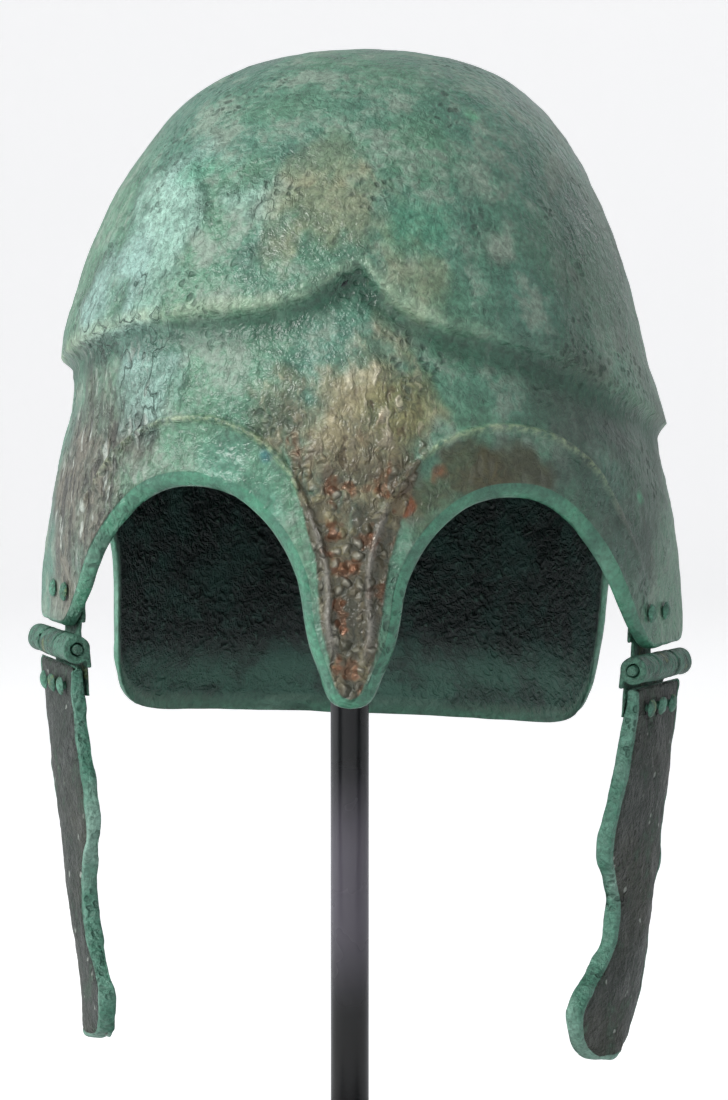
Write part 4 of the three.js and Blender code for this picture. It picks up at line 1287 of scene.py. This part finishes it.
def nose_bark(t, place, colours, nodules, streak, medium):
    """Tone of the nose's brown crust, and a mask of its bare copper."""
    bark = t.mix(t.step(streak, 0.42, 0.6), linear("51493A"), colours.brown)
    bark = t.mix(t.step(medium, 0.5, 0.62), bark, linear("8F8664"))
    bark = t.mix(t.times(nodules["Pale"], 0.75), bark, linear("B3AE9E"))
    bare = t.step(t.noise(place, 130.0, 2.0, 0.6), 0.54, 0.64)
    bark = t.mix(t.times(bare, 0.75), bark, colours.copper)
    hollow = t.step(nodules["Height"], 0.14, 0.02)
    return t.mix(t.times(hollow, 0.5), bark, linear("2E2519")), bare


def bowl_material(colours):
    """Patina of the bowl, with painted light and shade: mottled greens, stains, crust, edges and the dark
    inside.
    """
    material, t, surface, place = shader("bowl_patina")
    spot = warped(t, place, 260.0, 1.6)
    drawn = stretched(t, spot, 0.3)
    large = t.noise(place, 16.0, 2.0, 0.6)
    medium = t.noise(spot, 62.0, 4.0, 0.7)
    fine = t.noise(place, 520.0, 2.0, 0.66)
    streak = t.noise(drawn, 300.0, 2.0, 0.62)
    crust = use(t, "corroded_crust", {"Vector": spot, "Grain": 150.0, "Pits": 0.8})
    flakes = use(t, "flaky_crust", {"Vector": spot, "Grain": 210.0})
    nodules = use(t, "crust_nodules", {"Vector": spot, "Grain": 300.0})
    tone = t.mix(t.step(large, 0.4, 0.62), colours.green, colours.teal)
    tone = t.mix(t.step(medium, 0.46, 0.64), tone, colours.grey)
    # Stains from the mesh, among them painted shade on the wearer's left and a painted sheen high on the
    # wearer's right.
    cover = t.times(t.mark("stained"), t.step(medium, 0.3, 0.6, 0.8, 1.15), True)
    tone = t.mix(cover, tone, t.add("ShaderNodeAttribute", attribute_name="stain").outputs["Color"])
    pale, temple, gold = t.mark("flaky"), t.mark("temple"), t.mark("gilt")

    # Painted shade: the hollow under the brow ridge is darkened.
    recess = t.mark("recess")
    tone = t.mix(t.times(recess, 0.8), tone, linear("25523F"))
    # Painted highlight: a pale line along the ridge's crest.
    painted_highlight = t.times(t.mark("ridge"), t.step(medium, 0.36, 0.52, 0.35, 1.0))
    tone = t.mix(t.times(painted_highlight, 0.6), tone, linear("A9BFA0"))
    line = t.times(t.mark("brow"), t.step(fine, 0.3, 0.6))
    low_line = t.step(t.level(place), 0.24, 0.23)
    line_tone = t.mix(low_line, linear("9AA880"), linear("918D84"))
    tone = t.mix(t.times(line, 0.55), tone, line_tone)

    tone = t.mix(t.times(t.step(streak, 0.53, 0.68), gold), tone, linear("CFC9AC"))
    tone = t.mix(t.times(t.step(streak, 0.45, 0.32), gold), tone, linear("574D36"))
    tone = grained(t, tone, fine, 0.74, 1.24)
    tone = grained(t, tone, medium, 0.68, 1.14, 0.85, top=0.6)
    tone = t.mix(t.times(crust["Pit"], 0.62), tone, colours.dark)
    cracked = t.times(t.times(flakes["Crack"], pale), 1.1, True)
    tone = t.mix(cracked, tone, linear("3C5F52"))

    specks = use(t, "mineral_specks", {"Vector": drawn, "Grain": 400.0, "Amount": 0.3})["Mask"]
    chalk_share = t.times(specks, t.plus(t.times(temple, 0.75), 0.05))
    tone = t.mix(chalk_share, tone, colours.chalk)
    gouged = t.times(t.step(streak, 0.48, 0.4), temple)
    tone = t.mix(t.times(gouged, 0.9), tone, linear("2A2C24"))

    nose = t.mark("nose")
    wobble = t.times(t.minus(streak, 0.5), 1.2)
    nose_mask = t.step(t.plus(nose, wobble), 0.15, 0.8)
    bark, bare = nose_bark(t, place, colours, nodules, streak, medium)
    tone = t.mix(t.times(nose_mask, 0.9), tone, bark)
    tone = t.mix(t.times(t.times(t.mark("brow"), low_line), 0.7), tone, linear("8E8B82"))

    rim = t.mark("rim")
    rim_ragged = t.plus(rim, t.times(t.minus(medium, 0.5), 0.8))
    rim_tone = t.mix(t.step(medium, 0.38, 0.62), colours.rim, linear("3F7560"))
    rim_tone = t.mix(t.step(large, 0.5, 0.7), rim_tone, linear("7BAA94"))
    rim_tone = grained(t, rim_tone, fine, 0.7, 1.22, 0.8)
    rim_tone = t.mix(t.times(crust["Pit"], 0.5), rim_tone, colours.dark)
    tone = t.mix(t.times(t.step(rim_ragged, 0.3, 0.7), 0.9), tone, rim_tone)

    inner = t.mix(t.step(medium, 0.42, 0.66), colours.inside, linear("23463F"))
    inner = t.mix(t.times(crust["Grit"], 0.5), inner, linear("4B6F60"))
    # Painted light: the lower band inside the neck guard is paled.
    inner = t.mix(flare_share(t, place, medium), inner, linear("477363"))
    tone = t.mix(t.mark("inside"), tone, inner)

    strong = t.math("MAXIMUM", pale, t.mark("inside"))
    plain = t.times(crust["Height"], t.plus(0.6, t.times(strong, 0.7)))
    height = t.plus(plain, t.times(t.times(flakes["Height"], pale), 1.9))
    height = t.plus(height, t.times(t.times(streak, 2.2), temple))
    height = t.plus(height, t.times(t.times(streak, 0.8), gold))
    calm = t.math("MAXIMUM", t.mark("calm"), t.times(rim, 0.5))
    height = t.times(height, t.minus(1.0, t.times(calm, 0.8)))
    height = t.plus(height, t.times(t.times(nodules["Height"], nose_mask), 0.8))
    normal = bump(t, height, 3.0)
    gloss = t.step(medium, 0.35, 0.65, 0.27, 0.46)
    gloss = t.plus(gloss, t.times(crust["Pit"], 0.25))
    gloss = t.plus(gloss, t.times(t.mark("inside"), 0.2), True)
    metal = t.times(t.times(bare, nose_mask), 0.5)
    t.feed(surface, {"Base Color": tone, "Roughness": gloss, "Metallic": metal, "Normal": normal})
    t.feed(surface, {"Specular IOR Level": 0.65})
    return material


def flare_share(t, place, medium):
    """How much painted light pales the lower band inside the neck guard."""
    height = t.level(place)
    low = t.step(height, 0.186, 0.168)
    return t.times(low, t.step(medium, 0.35, 0.6, 0.3, 0.9))


def cheek_material(colours):
    """Patina of the cheek pieces: dark slate faces, green crusted edges."""
    material, t, surface, place = shader("cheek_patina")
    spot = warped(t, place, 300.0, 1.3)
    large = t.noise(place, 26.0, 2.0, 0.6)
    medium = t.noise(place, 95.0, 4.0, 0.7, 0.3)
    fine = t.noise(place, 620.0, 2.0, 0.65)
    crust = use(t, "corroded_crust", {"Vector": spot, "Grain": 180.0, "Pits": 0.8})
    tone = t.mix(t.step(large, 0.42, 0.6), colours.slate, linear("33382F"))
    tone = t.mix(t.step(medium, 0.54, 0.7), tone, linear("3E5546"))
    tone = t.mix(t.times(crust["Grit"], 0.3), tone, linear("5D6657"))
    tone = grained(t, tone, fine, 0.65, 1.25)
    tone = t.mix(t.times(crust["Pit"], 0.75), tone, linear("151A17"))
    specks = use(t, "mineral_specks", {"Vector": spot, "Grain": 430.0, "Amount": 0.05})["Mask"]
    tone = t.mix(t.times(specks, 0.5), tone, colours.chalk)
    ragged = t.plus(t.mark("rim"), t.times(t.minus(medium, 0.5), 0.7))
    edge = t.step(ragged, 0.38, 0.66)
    green = t.mix(t.step(medium, 0.4, 0.62), linear("5F8F7C"), linear("477A66"))
    green = t.mix(t.step(large, 0.48, 0.66), green, linear("86AC9C"))
    green = grained(t, green, fine, 0.7, 1.22, 0.8)
    green = t.mix(t.times(crust["Pit"], 0.6), green, linear("2C4E41"))
    tone = t.mix(edge, tone, green)
    t.feed(surface, {"Base Color": tone, "Roughness": t.step(medium, 0.35, 0.65, 0.38, 0.6)})
    t.feed(surface, {"Normal": bump(t, crust["Height"], 3.0)})
    t.feed(surface, {"Specular IOR Level": 0.42})
    return material


def small_metal_material(name, pale, deep, colours):
    """Patina of the hinges, pins and rivets."""
    material, t, surface, place = shader(name)
    medium = t.noise(place, 150.0, 4.0, 0.68, 0.3)
    fine = t.noise(place, 700.0, 2.0, 0.6)
    crust = use(t, "corroded_crust", {"Vector": place, "Grain": 240.0, "Pits": 0.6})
    tone = t.mix(t.step(medium, 0.4, 0.62), pale, deep)
    tone = grained(t, tone, fine, 0.7, 1.25)
    tone = t.mix(t.times(crust["Pit"], 0.7), tone, colours.dark)
    yellow = t.step(medium, 0.58, 0.68)
    tone = t.mix(t.times(yellow, 0.4), tone, linear("8E9A5A"))
    t.feed(surface, {"Base Color": tone, "Roughness": t.step(fine, 0.3, 0.7, 0.36, 0.56)})
    t.feed(surface, {"Normal": bump(t, crust["Height"], 2.2)})
    return material


def black_material(name, colours, roughness, grain, depth):
    """Black finish of the stand, faintly uneven, with a painted grey highlight band on the rod."""
    material, t, surface, place = shader(name)
    fine = t.noise(place, grain, 4.0, 0.6)
    cloud = t.noise(place, 22.0, 4.0, 0.55)
    tone = t.mix(t.step(cloud, 0.35, 0.65), colours.black, linear("17191C"))
    height = t.level(place)
    # Painted highlight: a grey band lightens the rod between about 70 and 155 mm up.
    painted_highlight = t.times(t.step(height, 0.155, 0.12), t.step(height, 0.07, 0.105))
    tone = t.mix(painted_highlight, tone, linear("68646E"))
    gloss = t.step(cloud, 0.3, 0.7, roughness - 0.06, roughness + 0.08)
    t.feed(surface, {"Base Color": tone, "Roughness": gloss, "Normal": bump(t, fine, depth)})
    return material


def backdrop_material():
    """Plain near-white paper."""
    material, t, surface, place = shader("backdrop_paper")
    cloud = t.noise(place, 1.1, 2.0)
    tone = t.mix(cloud, linear("E9EAEC"), linear("EFEFF0"))
    t.feed(surface, {"Base Color": tone, "Roughness": 0.9})
    t.feed(surface, {"Specular IOR Level": 0.1})
    t.feed(surface, {"Emission Color": linear("F5F4F3")})
    material.cycles.emission_sampling = "NONE"
    seen = t.add("ShaderNodeLightPath").outputs["Is Camera Ray"]
    t.feed(surface, {"Emission Strength": t.plus(t.times(seen, 0.44), 0.1)})
    return material


def material_of(name):
    """A material by name, made with the others at its first use."""
    if "bowl_patina" not in bpy.data.materials:
        colours = bpy.context.scene.patina_colours
        for make in (crust_group, flake_group, nodule_group, speck_group):
            make()
        bowl_material(colours)
        cheek_material(colours)
        small_metal_material("hinge_patina", linear("4C7B67"), linear("2B4A3E"), colours)
        small_metal_material("rivet_patina", linear("5A927B"), linear("3A6653"), colours)
        black_material("stand_gloss", colours, 0.24, 900.0, 0.02)
        black_material("stand_satin", colours, 0.4, 1500.0, 0.03)
        black_material("pad_rubber", colours, 0.8, 2200.0, 0.06)
        backdrop_material()
    return bpy.data.materials[name]


FLOOR_RADIUS, WALL_RADIUS, WALL_TOP = 2.8, 4.4, 5.0  # metres
CURVE_STEPS = 12
LIGHT_AIM = Vector((0, 0, 0.26))
LIGHTS = (  # name, place and width in metres, watts, tint
    ("key", (-1.7, -1.25, 1.45), 1.0, 36, (1, 0.99, 0.97)),
    ("side", (-2.0, 0.35, 0.8), 1.2, 11, (0.93, 0.98, 1)),
    ("above", (-0.3, -0.2, 2.3), 1.5, 7, (0.97, 0.985, 1)),
    ("fill", (1.7, -1.3, 0.8), 1.3, 1.2, (0.95, 0.98, 1)),
    ("behind", (1.0, 1.7, 1.3), 1.2, 2.5, (1, 1, 1)),
)


def studio_room():
    """Seamless pale floor that curves up into a wall all round."""
    deselect()
    bpy.ops.mesh.primitive_circle_add(vertices=96, radius=FLOOR_RADIUS, fill_type="NGON")
    room = bpy.context.object
    room.name = room.data.name = "studio_floor"
    bpy.ops.object.mode_set(mode="EDIT")
    bpy.ops.mesh.select_mode(type="EDGE")
    bpy.ops.mesh.select_all(action="SELECT")
    bpy.ops.mesh.region_to_loop()
    curve = WALL_RADIUS - FLOOR_RADIUS
    radius, height = FLOOR_RADIUS, 0.0
    for i in range(1, CURVE_STEPS + 2):
        angle = math.radians(90 * i / CURVE_STEPS)
        wide = FLOOR_RADIUS + curve * math.sin(angle) if i <= CURVE_STEPS else WALL_RADIUS
        tall = curve * (1 - math.cos(angle)) if i <= CURVE_STEPS else WALL_TOP
        bpy.ops.mesh.extrude_edges_move(TRANSFORM_OT_translate={"value": (0, 0, tall - height)})
        share = wide / radius
        bpy.ops.transform.resize(value=(share, share, 1), center_override=(0, 0, tall))
        radius, height = wide, tall
    bpy.ops.mesh.select_all(action="SELECT")
    bpy.ops.mesh.normals_make_consistent(inside=True)
    bpy.ops.object.mode_set(mode="OBJECT")
    bpy.ops.object.shade_smooth()
    room.data.materials.append(material_of("backdrop_paper"))
    return room


def soft_light(name, place, width, watts, tint):
    """Square soft light aimed at the helmet."""
    lamp = bpy.data.lights.new(name, "AREA")
    lamp.shape, lamp.size, lamp.energy, lamp.color = "SQUARE", width, watts, tint
    light = bpy.data.objects.new(name, lamp)
    light.location = place
    way = LIGHT_AIM - Vector(place)
    light.rotation_euler = way.to_track_quat("-Z", "Y").to_euler()
    light.visible_camera = False
    bpy.context.scene.collection.objects.link(light)
    return light


CAMERA_PIVOT = Vector((0.00385, -0.005, 0.243))
CAMERA_DISTANCE = 1.07
CAMERA_ABOVE = 2.0  # degrees that the camera stands above the pivot's level
CAMERA_PITCH = 3.33  # degrees that it looks down
CAMERA_YAW = 0.033
CAMERA_LENS = 112.9


def photo_camera():
    """Camera at the photograph's angle."""
    above = math.radians(CAMERA_ABOVE)
    camera = bpy.data.objects.new("Camera", bpy.data.cameras.new("Camera"))
    back = Vector((0, -math.cos(above), math.sin(above)))
    camera.location = CAMERA_PIVOT + back * CAMERA_DISTANCE
    pitch, yaw = math.radians(CAMERA_PITCH), math.radians(CAMERA_YAW)
    way = Vector((math.sin(yaw), math.cos(yaw) * math.cos(pitch), -math.sin(pitch)))
    camera.rotation_euler = way.to_track_quat("-Z", "Y").to_euler()
    camera.data.lens = CAMERA_LENS
    camera.data.sensor_width = 36
    camera.data.clip_start, camera.data.clip_end = 0.05, 30
    bpy.context.scene.collection.objects.link(camera)
    bpy.context.scene.camera = camera


class HELMET_OT_bowl(bpy.types.Operator):
    """Build the bowl with its ridge, eyebrow lines, nose guard and neck guard"""

    bl_idname = "helmet.bowl"
    bl_label = "Bowl"

    def execute(self, context):
        piece = make_bowl(context.scene.helmet_sizes)
        finish_piece(piece, "helmet_and_stand", "bowl_bronze", material_of("bowl_patina"), "helmet_bowl")
        return {"FINISHED"}


class HELMET_OT_cheek_pieces(bpy.types.Operator):
    """Build the two hinged cheek pieces"""

    bl_idname = "helmet.cheek_pieces"
    bl_label = "Cheek Pieces"

    def execute(self, context):
        for name, sign, lean, twist in SIDES:
            piece = make_cheek_piece(name, sign, lean, twist, context.scene.helmet_sizes)
            patina = material_of("cheek_patina")
            finish_piece(piece, f"cheek_{name}", "cheek_bronze", patina, f"cheek_piece_{name}")
        return {"FINISHED"}


class HELMET_OT_hinges(bpy.types.Operator):
    """Build the hinge leaves with their rolled knuckles, and the pins"""

    bl_idname = "helmet.hinges"
    bl_label = "Hinges"

    def execute(self, context):
        sizes = context.scene.helmet_sizes
        patina = material_of("hinge_patina")
        for name, sign, lean, _ in SIDES:
            fixed, swung = hinge_place(sign, sizes), hinge_place(sign, sizes, lean)
            leaf = settle(self.bowl_leaf(f"tab_leaf_{name}", sign, sizes), fixed)
            finish_piece(leaf, "helmet_and_stand", "hinge_bronze", patina, f"bowl_hinge_leaf_{name}")
            leaf = settle(self.cheek_leaf(f"cheek_leaf_{name}", sizes), swung)
            finish_piece(leaf, f"cheek_{name}", "hinge_bronze", patina, f"cheek_hinge_leaf_{name}")
            half = HINGE_LENGTH / 2 + PIN_OVERHANG
            pin = rod_along_y(BORE - PIN_GAP, -half, half, 28, 0.5)
            pin = fused([pin], f"hinge_bar_{name}", 0.3, 2)
            weather(pin, 0.12, 2.5, 91 + sign, 0.05)
            finish_piece(settle(pin, fixed), "helmet_and_stand", "hinge_bronze", patina, f"hinge_pin_{name}")
        return {"FINISHED"}

    def bowl_leaf(self, name, sign, sizes):
        face = leaf_face(sign, sizes)
        back, reach, half = face - LEAF_WALL, MIDDLE_KNUCKLE / 2, BOWL_LEAF_WIDTH / 2
        parts = [
            knuckle_tube(sizes.knuckle, BORE, -reach, reach),
            plate((back, -reach, 0), (face, reach, BOWL_LEAF_HEIGHT)),
            plate((back, -reach, 0), (-BORE - 0.8, reach, 2 * LEAF_WALL)),
            plate((back, -half, BOWL_LEAF_SHOULDER), (face, half, BOWL_LEAF_HEIGHT)),
        ]
        leaf = fused(parts, name, 0.36)
        weather(leaf, 0.22, 4, 81 + sign, 0.1)
        return leaf

    def cheek_leaf(self, name, sizes):
        end, inner = HINGE_LENGTH / 2, MIDDLE_KNUCKLE / 2 + FIT_GAP
        face = -sizes.cheek_edge / 2 - FIT_GAP
        back, half = face - LEAF_WALL, CHEEK_LEAF_WIDTH / 2
        clear = sizes.knuckle + SWING_GAP
        parts = [
            knuckle_tube(sizes.knuckle, BORE, -end, -inner),
            knuckle_tube(sizes.knuckle, BORE, inner, end),
            plate((back, -half, -CHEEK_LEAF_HEIGHT), (face, half, -clear)),
            plate((back, -end, -clear - 1), (face, -inner, 0)),
            plate((back, inner, -clear - 1), (face, end, 0)),
        ]
        leaf = fused(parts, name, 0.36)
        weather(leaf, 0.25, 4, 86, 0.12)
        return leaf


class HELMET_OT_rivets(bpy.types.Operator):
    """Build the rivets that hold the hinge leaves"""

    bl_idname = "helmet.rivets"
    bl_label = "Rivets"

    def execute(self, context):
        sizes = context.scene.helmet_sizes
        for name, sign, lean, _ in SIDES:
            inner = leaf_face(sign, sizes) - LEAF_WALL
            for i, share in enumerate((-0.5, 0.5)):
                along = share * BOWL_RIVET_SPACING
                outer = wall_outside(sign, along, BOWL_RIVET_LEVEL, 0, sizes)
                spot = hinge_place(sign, sizes) @ Matrix.Translation((0, along, BOWL_RIVET_LEVEL))
                piece = self.rivet(f"tab_stud_{name}_{i + 1}", outer - 0.5, inner, i, sizes)
                self.place(piece, spot, "helmet_and_stand", f"bowl_rivet_{name}_{i + 1}")
            outer = sizes.cheek_edge / 2
            inner = -outer - FIT_GAP - LEAF_WALL
            for i in range(3):
                along = (i - 1) * CHEEK_RIVET_SPACING
                spot = hinge_place(sign, sizes, lean) @ Matrix.Translation((0, along, -CHEEK_RIVET_DROP))
                piece = self.rivet(f"cheek_stud_{name}_{i + 1}", outer, inner, i + 4, sizes)
                self.place(piece, spot, f"cheek_{name}", f"cheek_rivet_{name}_{i + 1}")
        return {"FINISHED"}

    def rivet(self, name, outer, inner, seed, sizes):
        head, tail = outer + FIT_GAP, inner - FIT_GAP
        deselect()
        bpy.ops.mesh.primitive_uv_sphere_add(
            segments=28, ring_count=14, radius=1, location=(0, head * MM, 0)
        )
        dome = bpy.context.object
        wide = sizes.rivet_head * MM
        dome.scale = (wide, sizes.rivet_height * MM, wide)
        bpy.ops.object.transform_apply(location=True, rotation=True, scale=True)
        bpy.ops.object.mode_set(mode="EDIT")
        bpy.ops.mesh.select_all(action="SELECT")
        bpy.ops.mesh.bisect(
            plane_co=(0, head * MM, 0), plane_no=(0, 1, 0), clear_inner=True, use_fill=True
        )
        bpy.ops.object.mode_set(mode="OBJECT")
        shank = rod_along_y(SHANK_RADIUS, tail - 0.7, head + 0.4, 20, 0.2)
        foot = rod_along_y(SHANK_RADIUS * 1.7, tail - 0.7, tail, 20, 0.2)
        piece = fused([dome, shank, foot], name, 0.24, 2)
        weather(piece, 0.2, 2.2, 100 + seed, 0.05)
        return piece

    def place(self, piece, spot, body, node):
        settle(piece, spot @ Matrix.Rotation(-math.pi / 2, 4, "Z"))
        finish_piece(piece, body, "hinge_bronze", material_of("rivet_patina"), node)


class HELMET_OT_stand(bpy.types.Operator):
    """Build the rod and the base, and dress the pad under the crown"""

    bl_idname = "helmet.stand"
    bl_label = "Stand"

    def execute(self, context):
        sizes = context.scene.stand_sizes
        low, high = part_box("stand_rod")
        rod = rod_along_y(sizes.rod, low[2] / MM, high[2] / MM, 96, 0.5)
        rod.name = rod.data.name = "rod_bar"
        settle(rod, Matrix.Rotation(math.pi / 2, 4, "X"))
        finish_piece(rod, "helmet_and_stand", "stand_black", material_of("stand_gloss"), "stand_rod")
        half = sizes.base_side / 2
        base = plate((-half, -half, 0), (half, half, sizes.base_height), sizes.base_bevel, 5)
        socket = rod_along_y(sizes.rod + FIT_GAP, SOCKET_FLOOR - FIT_GAP, sizes.base_height + 2, 96, 0.1)
        settle(socket, Matrix.Rotation(math.pi / 2, 4, "X"))
        cut = base.modifiers.new("Socket", "BOOLEAN")
        cut.object, cut.operation = socket, "DIFFERENCE"
        bpy.context.view_layer.objects.active = base
        bpy.ops.object.modifier_apply(modifier="Socket")
        bpy.data.objects.remove(socket)
        base.name = base.data.name = "base_plate"
        base.data.shade_smooth()
        deselect()
        base.select_set(True)
        bpy.ops.object.shade_smooth_by_angle(angle=math.radians(30))
        finish_piece(base, "helmet_and_stand", "stand_black", material_of("stand_satin"), "stand_base")
        pad = bpy.data.objects["stand_pad"].data
        pad.materials.clear()
        pad.materials.append(material_of("pad_rubber"))
        return {"FINISHED"}


class HELMET_OT_stage(bpy.types.Operator):
    """Set up the pale floor, the soft lights and the camera"""

    bl_idname = "helmet.stage"
    bl_label = "Stage"

    def execute(self, context):
        studio_room()
        for light in LIGHTS:
            soft_light(*light)
        world = bpy.data.worlds.new("studio_air")
        world.use_nodes = True
        sky = world.node_tree.nodes["Background"]
        sky.inputs["Color"].default_value = (0.92, 0.95, 1, 1)
        sky.inputs["Strength"].default_value = 0.25
        context.scene.world = world
        context.scene.view_settings.view_transform = "Standard"
        photo_camera()
        return {"FINISHED"}


class HELMET_PT_panel(bpy.types.Panel):
    """Buttons and sizes of the helmet"""

    bl_label = "Chalcidian Helmet"
    bl_idname = "HELMET_PT_panel"
    bl_space_type = "VIEW_3D"
    bl_region_type = "UI"
    bl_category = "Helmet"

    def draw(self, context):
        layout = self.layout
        for operator in OPERATORS:
            layout.operator(operator.bl_idname)
        for group_name in GROUPS:
            sizes = getattr(context.scene, group_name)
            box = layout.box()
            for key in sizes.__annotations__:
                box.prop(sizes, key)


OPERATORS = (
    HELMET_OT_bowl,
    HELMET_OT_cheek_pieces,
    HELMET_OT_hinges,
    HELMET_OT_rivets,
    HELMET_OT_stand,
    HELMET_OT_stage,
)
GROUPS = {"helmet_sizes": HelmetSizes, "stand_sizes": StandSizes, "patina_colours": PatinaColours}
CLASSES = (*GROUPS.values(), *OPERATORS, HELMET_PT_panel)


def register():
    """Registers the classes and their places on the scene."""
    for cls in CLASSES:
        bpy.utils.register_class(cls)
    for name, kind in GROUPS.items():
        setattr(bpy.types.Scene, name, PointerProperty(type=kind))


def unregister():
    """Takes the classes out again."""
    for name in GROUPS:
        delattr(bpy.types.Scene, name)
    for cls in reversed(CLASSES):
        bpy.utils.unregister_class(cls)


def main():
    """Builds every piece and the stage."""
    register()
    bpy.ops.helmet.bowl()
    bpy.ops.helmet.cheek_pieces()
    bpy.ops.helmet.hinges()
    bpy.ops.helmet.rivets()
    bpy.ops.helmet.stand()
    bpy.ops.helmet.stage()


if __name__ == "__main__":
    main()
